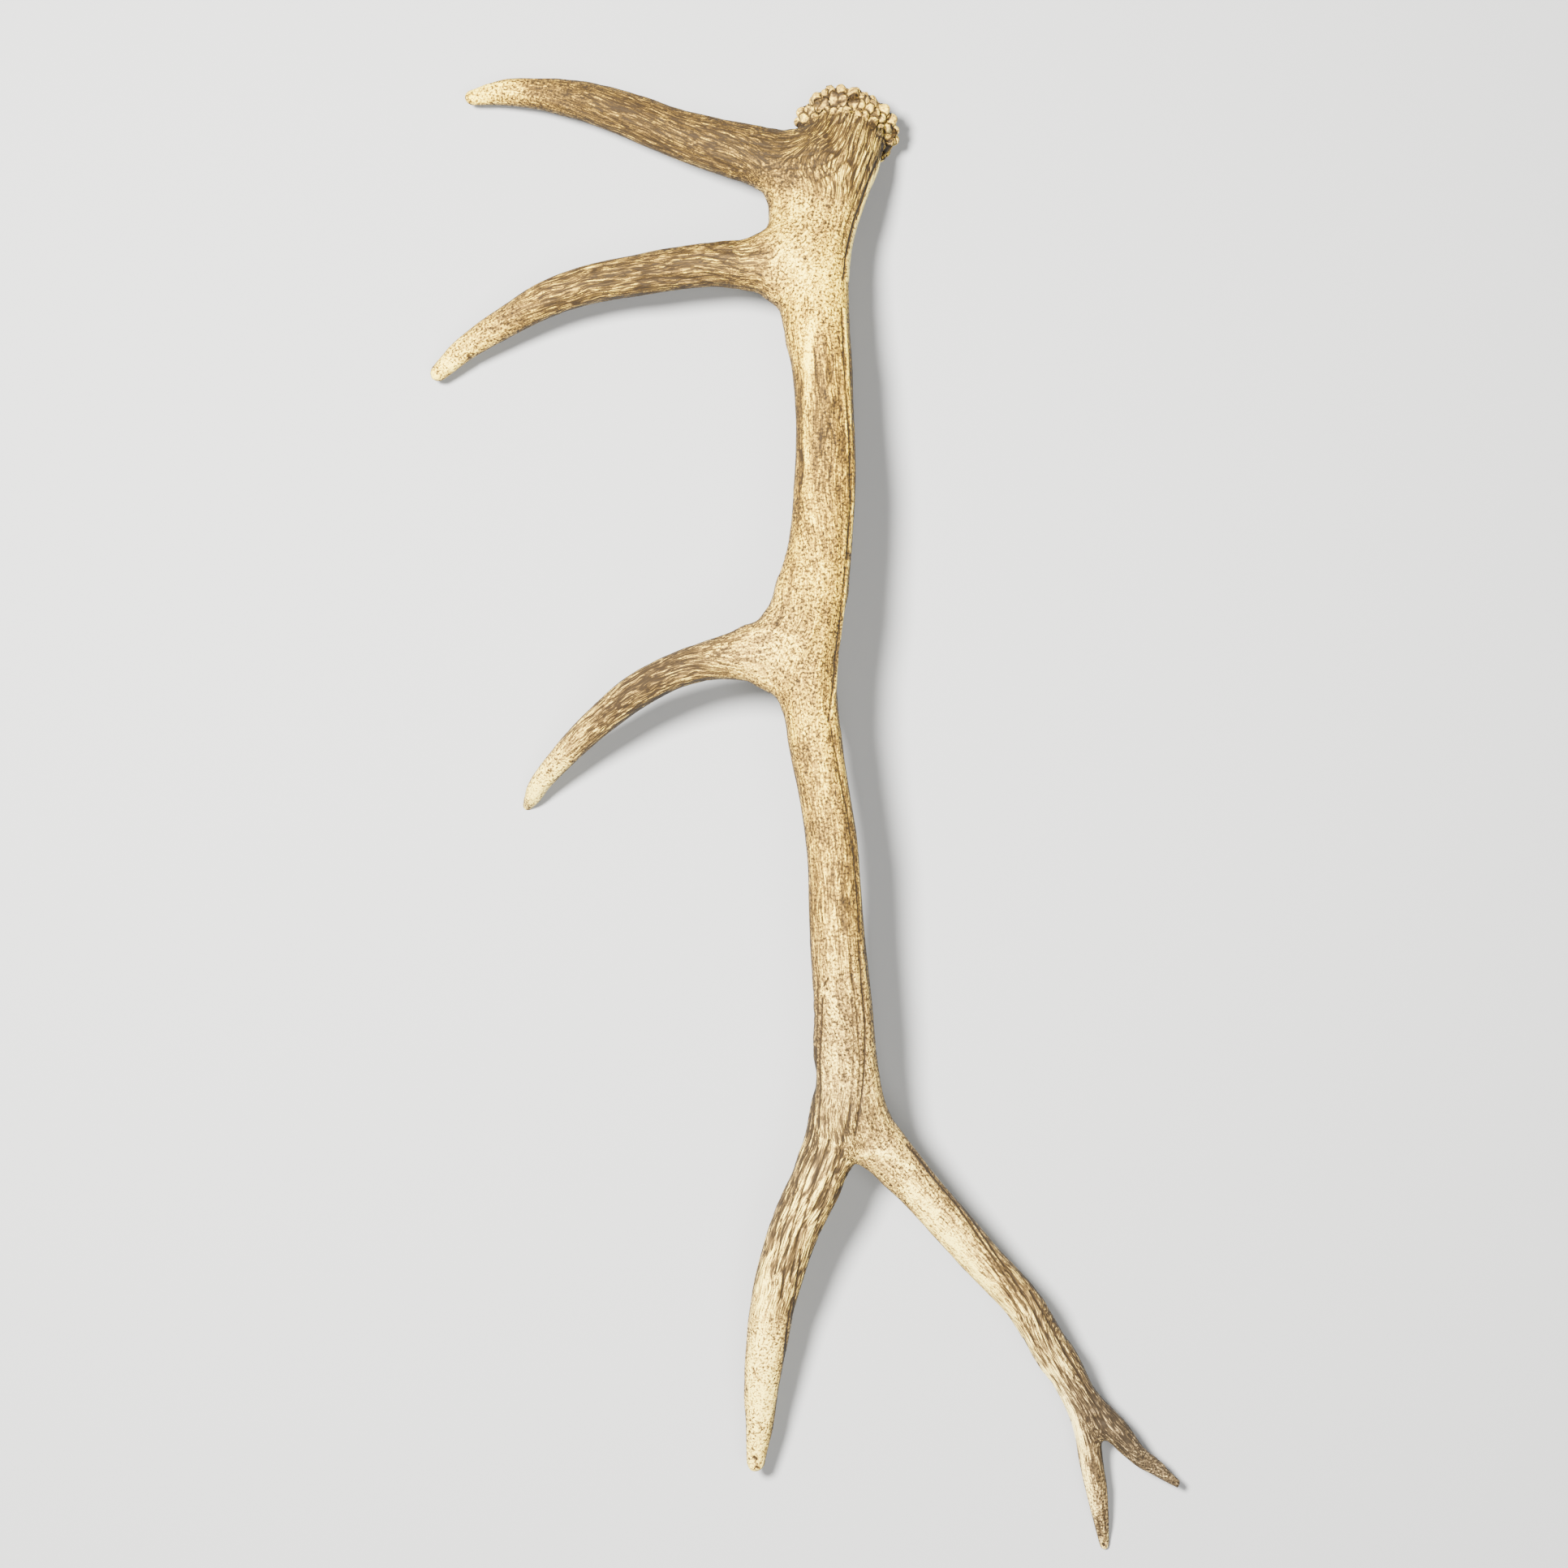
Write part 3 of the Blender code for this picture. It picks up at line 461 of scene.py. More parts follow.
class Branch:
    """A smooth middle line with an oval section that changes along it."""

    def __init__(self, name, stations):
        rows = smooth_path(stations)
        self.name = name
        self.middle = rows[:, :3]
        self.half = rows[:, 3:]
        ahead = np.gradient(self.middle, axis=0)
        step = lengths(ahead)
        self.along = unit(ahead)
        self.side = unit(np.cross((0, 0, 1), self.along))
        self.up = np.cross(self.along, self.side)
        self.widening = np.gradient(self.half, axis=0) / step[:, None]
        self.distance = np.concatenate([[0], np.cumsum(step)[:-1]])
        foot = SEAL_DOME if name == "beam" else FOOT_CAP
        self.cap = np.array([foot, TIP_LENGTH * self.half[-1, 0]])

    def nearest(self, points):
        """The index of the middle line's nearest row to each point."""
        found = []
        for block in np.array_split(points, max(1, len(points) // 20000)):
            away = (self.middle**2).sum(axis=1) - 2 * block @ self.middle.T
            found.append(away.argmin(axis=1))
        return np.concatenate(found)

    def place(self, points, row):
        """Distance to the surface, and distance along the branch."""
        offset = points - self.middle[row]
        ahead = (offset * self.along[row]).sum(axis=1)
        inside = np.clip(ahead, -0.5 * STEP, 0.5 * STEP)
        half = self.half[row] + self.widening[row] * inside[:, None]
        offset = offset - self.along[row] * inside[:, None]
        across = (offset * self.side[row]).sum(axis=1)
        upward = (offset * self.up[row]).sum(axis=1)
        last = row == len(self.middle) - 1
        beyond = np.where((row == 0) | last, ahead - inside, 0)
        cap = self.cap[last.astype(int)]
        reach = (across / half[:, 0]) ** 2 + (upward / half[:, 1]) ** 2 + (beyond / cap) ** 2
        reach = np.maximum(np.sqrt(reach), 1e-6)
        gap = lengths(offset) * (1 - 1 / reach)
        gap = np.where(reach < CORE, -half.min(axis=1), gap)
        return gap, self.distance[row] + inside + beyond

    def coordinates(self, points, row):
        """Where each point lies: across, upward (both 1 at the surface) and along."""
        offset = points - self.middle[row]
        across = (offset * self.side[row]).sum(axis=1) / self.half[row, 0]
        upward = (offset * self.up[row]).sum(axis=1) / self.half[row, 1]
        along = (offset * self.along[row]).sum(axis=1) + self.distance[row]
        return across, upward, along


def blended(first, second, width):
    """The union of two distances, with a fillet about as wide as stated."""
    near = np.maximum(width - np.abs(first - second), 0) / width
    return np.minimum(first, second) - near**3 * width / 6


def rim_at(turn):
    """How far the burr's rim stands out at an angle around the beam."""
    angle, extra = np.array(RIM).T
    return np.interp(np.degrees(turn) % 360, angle, extra)


class Burr:
    """The ring of pearls around the beam's foot."""

    def __init__(self):
        self.centre = np.array(BEAM[0][:3]) - BOX_FOOT
        self.axis = unit(np.array(BURR_AXIS))
        self.right = unit(np.cross(self.axis, (0, 0, 1)))
        self.front = np.cross(self.right, self.axis)
        self.pearls = [pearl for row in PEARL_ROWS for pearl in self.pearl_row(*row)]

    def pearl_row(self, count, mean_radius, mean_height, mean_half):
        """One ring of pearls: each a centre, three axes and three half sizes."""
        chance = random.Random(count)
        for number in range(count):
            turn = 2 * math.pi * (number + chance.uniform(-PEARL_TURN, PEARL_TURN)) / count
            outward = math.cos(turn) * self.right + math.sin(turn) * self.front
            radius = mean_radius + rim_at(turn) + chance.uniform(*PEARL_SHIFT_OUT)
            height = mean_height + chance.uniform(*PEARL_SHIFT)
            half = np.array(mean_half) * chance.uniform(*PEARL_SIZE)
            centre = self.centre + radius * outward + height * self.axis
            yield centre, np.array((outward, np.cross(self.axis, outward), self.axis)), half

    def around(self, points):
        """Height along the burr's axis, distance from it and angle around it."""
        offset = points - self.centre
        height = offset @ self.axis
        radius = lengths(offset - height[:, None] * self.axis)
        return height, radius, np.arctan2(offset @ self.front, offset @ self.right)

    def flange(self, points):
        """Distance to the plain disc behind the pearls."""
        height, radius, turn = self.around(points)
        rim = FLANGE_RADIUS + rim_at(turn)
        reach = np.hypot((radius - rim) / FLANGE_HALF[0], height / FLANGE_HALF[1])
        return (reach - 1) * FLANGE_HALF[1]

    def pearl_gaps(self, points):
        """Distance from each point to every pearl, one at a time."""
        for centre, axes, half in self.pearls:
            local = (points - centre) @ axes.T
            reach = np.maximum(lengths(local / half), 1e-6)
            yield lengths(local) * (1 - 1 / reach)

    def beads_and_crevices(self, points):
        """Where the pearls' tops are, and the narrow dark clefts between them."""
        first = np.full(len(points), 99)
        second = first.copy()
        for pearl in self.pearl_gaps(points):
            second = np.minimum(second, np.maximum(first, pearl))
            first = np.minimum(first, pearl)
        height, radius, _ = self.around(points)
        seal = smooth_step(height, 4, 7) * (1 - smooth_step(radius, BURR_INNER - 3, BURR_INNER))
        band = smooth_step(height, BURR_BAND[0], BURR_BAND[0] + 6)
        band *= 1 - smooth_step(height, BURR_BAND[1] - 5, BURR_BAND[1])
        band *= smooth_step(radius, BURR_INNER, BURR_INNER + 3)
        bead = 1 - smooth_step(first, 0.2, 1.4)
        cleft = bead * (1 - smooth_step(second - first, 0.3, 1.7))
        cleft = np.maximum(cleft, 0.25 * smooth_step(first, 0.3, 1.2) * band)
        return bead * band, cleft * band, seal


class Antler:
    """The whole form: the branches grown together, and the burr."""

    def __init__(self):
        self.branches = [Branch(name, rows) for name, rows in BRANCHES.items()]
        self.burr = Burr()

    def distance(self, points, rows, burr):
        """Signed distance from each point to the surface, in millimetres."""
        gap = self.branches[0].place(points, rows[0])[0]
        for branch, row in zip(self.branches[1:], rows[1:]):
            gap = blended(gap, branch.place(points, row)[0], FORK_BLEND[branch.name])
        if burr.any():
            grown = blended(gap[burr], self.burr.flange(points[burr]), FLANGE_BLEND)
            for pearl in self.burr.pearl_gaps(points[burr]):
                grown = blended(grown, pearl, PEARL_BLEND)
            gap[burr] = grown
        return gap

    def slope(self, points, rows, burr):
        """Distance and its gradient at each point."""
        here = self.distance(points, rows, burr)
        gradient = np.empty_like(points)
        for axis in range(3):
            shifted = points.copy()
            shifted[:, axis] += PROBE
            gradient[:, axis] = (self.distance(shifted, rows, burr) - here) / PROBE
        return here, gradient

    def project(self, points, steps=3):
        """The points moved on to the surface."""
        points = points.copy()
        rows = [branch.nearest(points) for branch in self.branches]
        burr = lengths(points - self.burr.centre) < BURR_REACH
        for _ in range(steps):
            here, gradient = self.slope(points, rows, burr)
            steep = np.maximum((gradient**2).sum(axis=1), FLATTEST)
            points -= np.clip(gradient * (here / steep)[:, None], -LEAP, LEAP)
        return points


# -------- meshes and numbers


def new_object(name, data):
    """An object in the scene."""
    made = bpy.data.objects.new(name, data)
    bpy.context.scene.collection.objects.link(made)
    return made


def finished_mesh(bm, name):
    """The mesh that a bmesh holds."""
    mesh = bpy.data.meshes.new(name)
    bm.to_mesh(mesh)
    bm.free()
    return mesh


def evaluated_mesh(thing):
    """A plain mesh of an object with its modifiers, in world space."""
    bpy.context.view_layer.update()
    graph = bpy.context.evaluated_depsgraph_get()
    mesh = bpy.data.meshes.new_from_object(thing.evaluated_get(graph))
    mesh.transform(thing.matrix_world)
    return mesh


def rows_of(items, name, width, kind=np.float32):
    """One property of every vertex, normal or edge."""
    flat = np.empty(len(items) * width, kind)
    items.foreach_get(name, flat)
    return flat.reshape(-1, width)


def places(mesh):
    """A mesh's vertices, in millimetres."""
    return rows_of(mesh.vertices, "co", 3).astype(float) / MM


def move_to(mesh, points):
    """Put a mesh's vertices at places in millimetres."""
    mesh.vertices.foreach_set("co", (points * MM).astype(np.float32).ravel())
    mesh.update()


def edge_pairs(mesh):
    """The two vertices of each edge."""
    return rows_of(mesh.edges, "vertices", 2, np.int32)


def relaxed(points, edges):
    """Each point moved to the mean of its neighbours."""
    count = np.bincount(edges.ravel(), minlength=len(points))
    moved = np.empty_like(points)
    for axis in range(points.shape[1]):
        total = np.bincount(edges[:, 0], points[edges[:, 1], axis], len(points))
        total += np.bincount(edges[:, 1], points[edges[:, 0], axis], len(points))
        moved[:, axis] = total / count
    return moved


def smooth_step(value, low, high):
    """From 0 at the low value to 1 at the high one."""
    t = np.clip((value - low) / (high - low), 0, 1)
    return t * t * (3 - 2 * t)


def even_noise(points, size, seed):
    """Smooth random values from -1 to 1, with lumps about as large as stated."""
    place = points / size + 31.7 * seed
    cell = np.floor(place).astype(np.int64)
    part = place - cell
    part = part * part * (3 - 2 * part)
    total = np.zeros(len(points))
    for corner in range(8):
        step = np.array((corner & 1, corner >> 1 & 1, corner >> 2 & 1))
        key = (cell + step) @ np.array((73856093, 19349663, 83492791)) + 2654435761 * seed
        key = (key ^ (key >> 13)) * 1274126177 & 0xFFFFFFFF
        key = (key ^ (key >> 16)) * 2246822519 & 0xFFFFFFFF
        share = np.where(step, part, 1 - part).prod(axis=1)
        total += share * ((key >> 8) / 8388608 - 1)
    return total


# -------- the blank


def branch_tube(branch):
    """A tapering tube along one branch, as a curve with a bevel."""
    curve = bpy.data.curves.new(branch.name + "_tube", "CURVE")
    curve.dimensions = "3D"
    curve.bevel_depth = MM
    curve.bevel_resolution = 6
    curve.use_fill_caps = True
    spline = curve.splines.new("POLY")
    spline.points.add(len(branch.middle))
    for point, middle, half in zip(spline.points, branch.middle, branch.half):
        point.co = (*(middle * MM), 1)
        point.radius = half.mean()
    tip = branch.middle[-1] + 0.8 * branch.cap[1] * branch.along[-1]
    spline.points[-1].co = (*(tip * MM), 1)
    spline.points[-1].radius = 0.5 * branch.half[-1].mean()
    return new_object(branch.name + "_tube", curve)


def burr_blank(burr):
    """A thick disc where the burr's pearls will be."""
    bm = bmesh.new()
    bmesh.ops.create_uvsphere(bm, u_segments=32, v_segments=16, radius=1)
    turn = Vector(burr.axis).to_track_quat("Z", "Y").to_matrix().to_4x4()
    size = Matrix.Diagonal((*(half * MM for half in BURR_BLANK), 1))
    place = Matrix.Translation(Vector(burr.centre * MM)) @ turn @ size
    bmesh.ops.transform(bm, matrix=place, verts=bm.verts)
    return new_object("burr_blank", finished_mesh(bm, "burr_blank"))


def with_modifier(mesh, kind, settings):
    """The mesh that one modifier makes of another."""
    thing = new_object("blank", mesh)
    modifier = thing.modifiers.new("change", kind)
    for name, value in settings.items():
        setattr(modifier, name, value)
    result = evaluated_mesh(thing)
    bpy.data.objects.remove(thing)
    return result


def eased_forks(points, edges, antler):
    """The crotches of the forks smoothed, as they grow."""
    gaps = [branch.place(points, branch.nearest(points))[0] for branch in antler.branches]
    first, second = np.sort(np.array(gaps), axis=0)[:2]
    share = smooth_step(FORK_REACH - (second - first), 0, 0.5 * FORK_REACH)
    share *= smooth_step(lengths(points - antler.burr.centre), *BURR_CLEAR)
    for _ in range(FORK_EASE):
        points = points + 0.5 * share[:, None] * (relaxed(points, edges) - points)
    return points


def antler_blank(antler):
    """One closed mesh of fine even quads on the antler's plain form."""
    blanks = [branch_tube(branch) for branch in antler.branches]
    blanks.append(burr_blank(antler.burr))
    bm = bmesh.new()
    for blank in blanks:
        bm.from_mesh(evaluated_mesh(blank))
    mesh = finished_mesh(bm, "antler_blank")
    for blank in blanks:
        bpy.data.objects.remove(blank)
    mesh = with_modifier(mesh, "REMESH", {"mode": "VOXEL", "voxel_size": VOXEL * MM})
    edges = edge_pairs(mesh)
    points = antler.project(places(mesh))
    for _ in range(3):
        points = antler.project(relaxed(points, edges), steps=1)
    points = antler.project(points, steps=1)
    move_to(mesh, eased_forks(points, edges, antler))
    mesh = with_modifier(mesh, "SUBSURF", SUBDIVISION)
    points = places(mesh)
    near = lengths(points - antler.burr.centre) < BURR_REACH - 4
    points[near] = antler.project(points[near], steps=2)
    move_to(mesh, points)
    return mesh


# -------- the grain


def branch_shares(places_on):
    """How much each point belongs to each branch."""
    gaps = np.stack([gap for gap, _, _ in places_on])
    share = np.exp(-np.maximum(gaps, -20) / SHARE_WIDTH)
    return share / share.sum(axis=0)


def seen(points):
    """Where the camera sees each point, in squares of its grid."""
    size = SQUARE * (CAMERA_HEIGHT - points[:, 2])
    across = GRID / 2 + (points[:, 0] - CAMERA_PLACE[0]) / size
    down = GRID / 2 - (points[:, 1] - CAMERA_PLACE[1]) / size
    return np.stack([across, down], axis=1)


def beam_across(across, along):
    """Across the beam, with the fibres spread so that they bend into each tine."""
    palm = smooth_step(along, *PALM_START) * (1 - smooth_step(along, *PALM_END))
    across = np.where(across < 0, across / (1 + PALM_WIDTH * palm), across)
    spread = across.copy()
    for place, side in FORKS.values():
        share = 1 - smooth_step(along, place - GRAIN_BEND, place + GRAIN_BEND)
        if place > 2 * GRAIN_BEND:
            share *= smooth_step(along, place - GRAIN_LEAD * GRAIN_BEND, place - GRAIN_BEND)
        spread += side * (1 + side * across) * share
    return spread


def fibre_radius(branch, beam):
    """How many millimetres of fibres lie across half of each branch."""
    own = branch.half.mean(axis=1)
    if branch is beam:
        return own
    place = FORKS[branch.name][0]
    fork = np.interp(place, beam.distance, beam.half.mean(axis=1))
    root = np.interp(TINE_ROOT[1], branch.distance, own)
    return fork * np.minimum(own / root, 1)


def muddled(coordinates, points, edges):
    """Where the fibres spread so far apart that they have no clear direction."""
    apart = ((coordinates[edges[:, 0], :2] - coordinates[edges[:, 1], :2]) ** 2).sum(axis=1)
    apart /= np.maximum(((points[edges[:, 0]] - points[edges[:, 1]]) ** 2).sum(axis=1), 1e-6)
    total = np.zeros(len(points))
    for end in (0, 1):
        total += np.bincount(edges[:, end], apart, len(points))
    spread = np.sqrt(2 * total / np.maximum(np.bincount(edges.ravel(), minlength=len(points)), 1))
    knot = 1 - smooth_step(spread, *KNOT_SPREAD)
    for _ in range(KNOT_PASSES):
        knot = relaxed(knot[:, None], edges)[:, 0]
    return knot


def fibre_shares(antler, places_on, weight):
    """How much each branch's fibres count. The palm has none of its own."""
    share = weight.copy()
    for number, branch in enumerate(antler.branches):
        if branch.name in FORKS:
            share[number] *= smooth_step(places_on[number][1], *TINE_ROOT)
    share[0] += share[1]
    share[1] = 0
    return share / share.sum(axis=0)


def grain_coordinates(antler, points, edges, places_on, weight):
    """Across, up and along the fibres, and where that is muddled."""
    beam = antler.branches[0]
    share = fibre_shares(antler, places_on, weight)
    grain = np.zeros_like(points)
    crossing = np.zeros(len(points))
    for number, branch in enumerate(antler.branches):
        if branch.name == "palm":
            continue
        row = places_on[number][2]
        across, upward, along = branch.coordinates(points, row)
        across = np.clip(across, -FIBRE_LIMITS[0], FIBRE_LIMITS[0])
        upward = np.clip(upward, -FIBRE_LIMITS[1], FIBRE_LIMITS[1])
        if branch is beam:
            across = beam_across(across, along)
            beam_fibres = across
        else:
            place, side = FORKS[branch.name]
            across = across + 2 * side
            along = along + place
            crossing += share[number] * (across - beam_fibres) ** 2
        radius = fibre_radius(branch, beam)[row]
        grain += share[number][:, None] * np.stack([radius * across, radius * upward, along], 1)
    knot = np.clip(1.2 * share[0] * crossing, 0, 1)
    knot = np.maximum(knot, muddled(grain, points, edges))
    for axis in (0, 1):
        waves = [high * even_noise(points, long, seed + axis) for high, long, seed in FIBRE_WAVES]
        grain[:, axis] += sum(waves) * (1 - 0.8 * knot)
    return grain, knot


def seen_patches(where, facing):
    """The change of tone from the patches, where the camera sees them."""
    change = np.zeros(len(where))
    for across, down, length, width, turn, amount in PATCHES:
        offset = where - (across, down)
        near = np.flatnonzero((np.abs(offset) < 2 * length).all(axis=1))
        angle = math.radians(turn)
        along = offset[near] @ (math.cos(angle), math.sin(angle)) / length
        aside = offset[near] @ (-math.sin(angle), math.cos(angle)) / width
        change[near] += amount * np.exp(-1.2 * (along**2 + aside**2))
    return PATCH_STRENGTH * change * smooth_step(facing, -0.1, 0.25)


def finish_along(antler, places_on, weight):
    """Tone, roughness and warmth from the tables, blended through the forks."""
    total = np.zeros((3, weight.shape[1]))
    for share, branch, (_, along, _) in zip(weight, antler.branches, places_on):
        distance, tone, rough = np.transpose(FINISH[branch.name])
        total[0] += share * np.interp(along, distance, tone)
        total[1] += share * np.interp(along, distance, rough)
        total[2] += share * np.interp(along, *np.transpose(WARMTH[branch.name]))
    return total


def seen_marks(where, facing):
    """The change of tone and height from the marks, where the camera sees them."""
    tone, height = np.zeros((2, len(where)))
    upper = smooth_step(facing, -0.25, 0.1)
    for width, shade, raised, *line in MARKS:
        line = np.reshape(line, (-1, 2))
        low = line.min(axis=0) - 3 * width
        high = line.max(axis=0) + 3 * width
        near = np.flatnonzero(((where > low) & (where < high)).all(axis=1) & (upper > 0))
        spot = where[near]
        best = np.full(len(near), 1e9)
        for start, end in zip(line[:-1], line[1:]):
            way = end - start
            share = np.clip((spot - start) @ way / (way @ way), 0, 1)
            best = np.minimum(best, lengths(spot - start - share[:, None] * way))
        value = np.exp(-((best / width) ** 2)) * upper[near]
        tone[near] += MARK_STRENGTH * shade * value
        height[near] += raised * value
    return tone, height


def keep_value(mesh, name, value):
    """Keep one number on each vertex, for the finish."""
    layer = mesh.attributes.new(name, "FLOAT", "POINT")
    layer.data.foreach_set("value", value.astype(np.float32))


def dress(mesh, antler):
    """Raise the fine relief and keep what the finish needs on each vertex."""
    points = places(mesh)
    normals = rows_of(mesh.vertex_normals, "vector", 3).astype(float)
    facing = normals[:, 2]
    places_on = []
    for branch in antler.branches:
        row = branch.nearest(points)
        places_on.append((*branch.place(points, row), row))
    weight = branch_shares(places_on)
    tone, rough, warmth = finish_along(antler, places_on, weight)
    grain, knot = grain_coordinates(antler, points, edge_pairs(mesh), places_on, weight)

    fibre = grain / (1, 1, 14)
    flute = even_noise(fibre, 5, 21) + 0.5 * even_noise(fibre, 2.4, 22)
    braid = even_noise(grain / (1, 1, 9), 4, 23)
    lump = even_noise(points, 28, 25)
    patch = even_noise(points, 40, 26) + 0.6 * even_noise(points, 17, 27)
    groove = np.exp(-((braid / 0.16) ** 2)) * rough * (1 - knot)

    bead, cleft, seal = np.zeros((3, len(points)))
    near = lengths(points - antler.burr.centre) < BURR_REACH
    bead[near], cleft[near], seal[near] = antler.burr.beads_and_crevices(points[near])
    mark, raised = seen_marks(seen(points), facing)
    plain = 1 - np.maximum(bead, cleft)
    height = (FLUTE_HEIGHT[0] + FLUTE_HEIGHT[1] * rough) * flute + LUMP_HEIGHT * lump
    height = (height - GROOVE_DEPTH * groove) * plain - CLEFT_DEPTH * cleft + raised
    points += normals * height[:, None]
    points[:, 2] = np.maximum(points[:, 2], 0)
    move_to(mesh, points)

    # Painted shade: the more a surface faces sideways, the darker its tone.
    flank_shade = smooth_step(1 - np.abs(facing), 0.25, 0.95)
    tone = tone + (SEAL_TONE - tone) * seal
    tone = tone + PATCH_TONE * patch + FLUTE_TONE * flute + FLANK_SHADE * flank_shade * plain
    # The marks and patches bring painted highlights and painted shade as well as the bone's stains
    # and grooves.
    tone = tone + BEAD_TONE * bead + mark + seen_patches(seen(points), facing)
    speckled = SPECKLED * (1 - smooth_step(rough, 0.2, 0.42))
    keep_value(mesh, "tone", tone)
    # The groove value also takes the dark marks, among them painted shade in the fork hollows and
    # along the edges.
    keep_value(mesh, "groove", np.maximum.reduce((groove * plain, cleft, 0.9 * mark)))
    keep_value(mesh, "knot", np.maximum.reduce((knot, bead, speckled, seal)))
    keep_value(mesh, "warmth", warmth * (1 - UNDERSIDE_COOL * smooth_step(-facing, -0.6, 0.2)))
    keep_value(mesh, "calm", BEAD_CALM * np.maximum(bead, cleft))
    layer = mesh.attributes.new("grain", "FLOAT_VECTOR", "POINT")
    layer.data.foreach_set("vector", grain.astype(np.float32).ravel())


# -------- the pieces


def cut_through(bm, branch, distance, reach, points):
    """Edges of a clean cut across one branch."""
    row = int(np.abs(branch.distance - distance).argmin())
    offset = points - branch.middle[row]
    ahead = offset @ branch.along[row]
    away = lengths(offset - ahead[:, None] * branch.along[row])
    near = np.flatnonzero((np.abs(ahead) < 2.5) & (away < reach))
    bm.verts.ensure_lookup_table()
    faces = {face for index in near for face in bm.verts[index].link_faces}
    edges = {edge for face in faces for edge in face.edges}
    verts = {vert for face in faces for vert in face.verts}
    cut = bmesh.ops.bisect_plane(
        bm,
        geom=[*verts, *edges, *faces],
        dist=0.02 * MM,
        plane_co=Vector(branch.middle[row] * MM),
        plane_no=Vector(branch.along[row]),
    )
    return [part for part in cut["geom_cut"] if isinstance(part, bmesh.types.BMEdge)]


def cut_apart(mesh, antler):
    """Cut the mesh at the forks, and close each end with a flat face."""
    named = {branch.name: branch for branch in antler.branches}
    points = places(mesh)
    bm = bmesh.new()
    bm.from_mesh(mesh)
    cuts = [cut_through(bm, named[name], distance, reach, points) for name, distance, reach in CUTS]
    bmesh.ops.split_edges(bm, edges=[edge for cut in cuts for edge in cut])
    border = [edge for edge in bm.edges if edge.is_boundary]
    caps = bmesh.ops.edgeloop_fill(bm, edges=border)["faces"]
    for edge in border:
        edge.smooth = False
    bmesh.ops.recalc_face_normals(bm, faces=bm.faces)
    bmesh.ops.poke(bm, faces=caps)
    bm.to_mesh(mesh)
    bm.free()


def loose_objects(mesh):
    """Each loose piece of a mesh as an object of its own."""
    whole = new_object("antler_whole", mesh)
    before = set(bpy.data.objects)
    bpy.ops.object.select_all(action="DESELECT")
    whole.select_set(True)
    bpy.context.view_layer.objects.active = whole
    bpy.ops.mesh.separate(type="LOOSE")
    pieces = [whole, *(set(bpy.data.objects) - before)]
    crumbs = [piece for piece in pieces if len(piece.data.vertices) < CRUMB]
    for crumb in crumbs:
        pieces.remove(crumb)
        bpy.data.objects.remove(crumb)
    return pieces


def named_pieces(mesh, material):
    """The pieces with their names and the finish, each tied to its node."""
    pieces = loose_objects(mesh)
    centres = np.array([places(piece.data).mean(axis=0) for piece in pieces])
    for node, middle in NODES.items():
        target = np.array(middle) - BOX_FOOT
        piece = pieces[int(lengths(centres - target).argmin())]
        piece.name = node + "_bone"
        piece.data.name = node + "_bone"
        piece.data.materials.clear()
        piece.data.materials.append(material)
        piece.data.shade_smooth()
        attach(piece, "root")
        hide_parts(node)


# -------- the finish


def add_node(tree, kind, inputs=None, **settings):
    """A shader node with its settings, its inputs linked or set."""
    made = tree.nodes.new("ShaderNode" + kind)
    for name, value in settings.items():
        setattr(made, name, value)
    for name, value in (inputs or {}).items():
        if isinstance(value, bpy.types.NodeSocket):
            tree.links.new(value, made.inputs[name])
        else:
            made.inputs[name].default_value = value
    return made


def attribute(tree, name):
    """A value that is kept on the vertices."""
    return add_node(tree, "Attribute", attribute_name=name).outputs["Fac"]


def maths(tree, operation, first, second=0, third=0):
    """One sum, product or other operation."""
    return add_node(tree, "Math", {0: first, 1: second, 2: third}, operation=operation).outputs[0]


def ramp(tree, value, low, high, start=0, end=1):
    """A soft step from one value to another."""
    limits = {"From Min": low, "From Max": high, "To Min": start, "To Max": end}
    made = add_node(tree, "MapRange", {"Value": value, **limits}, interpolation_type="SMOOTHSTEP")
    return made.outputs["Result"]


def noise(tree, vector, scale, detail=1):
    """A smooth random value."""
    settings = {"Vector": vector, "Scale": scale, "Detail": detail}
    return add_node(tree, "TexNoise", settings).outputs["Fac"]


def fibre_noise(tree, grain, along, scale, detail=2):
    """Noise that is drawn out along the fibres."""
    drawn = add_node(tree, "VectorMath", {0: grain, 1: (1, 1, 1 / along)}, operation="MULTIPLY")
    return noise(tree, drawn.outputs[0], scale, detail)


def mixed(tree, share, first, second):
    """From the first value to the second as the share grows."""
    return maths(tree, "MULTIPLY_ADD", share, maths(tree, "SUBTRACT", second, first), first)


def swung(tree, value, middle, strength, base):
    """A base value that swings with a noise around its middle."""
    return maths(tree, "MULTIPLY_ADD", maths(tree, "SUBTRACT", value, middle), strength, base)


def fibre_lines(tree, grain, dense, along, scale, low, high):
    """Dark lines along the fibres, more of them where the tone is dense."""
    value = fibre_noise(tree, grain, along, scale)
    return ramp(tree, maths(tree, "MULTIPLY_ADD", dense, LINE_DENSITY, value), low, high)


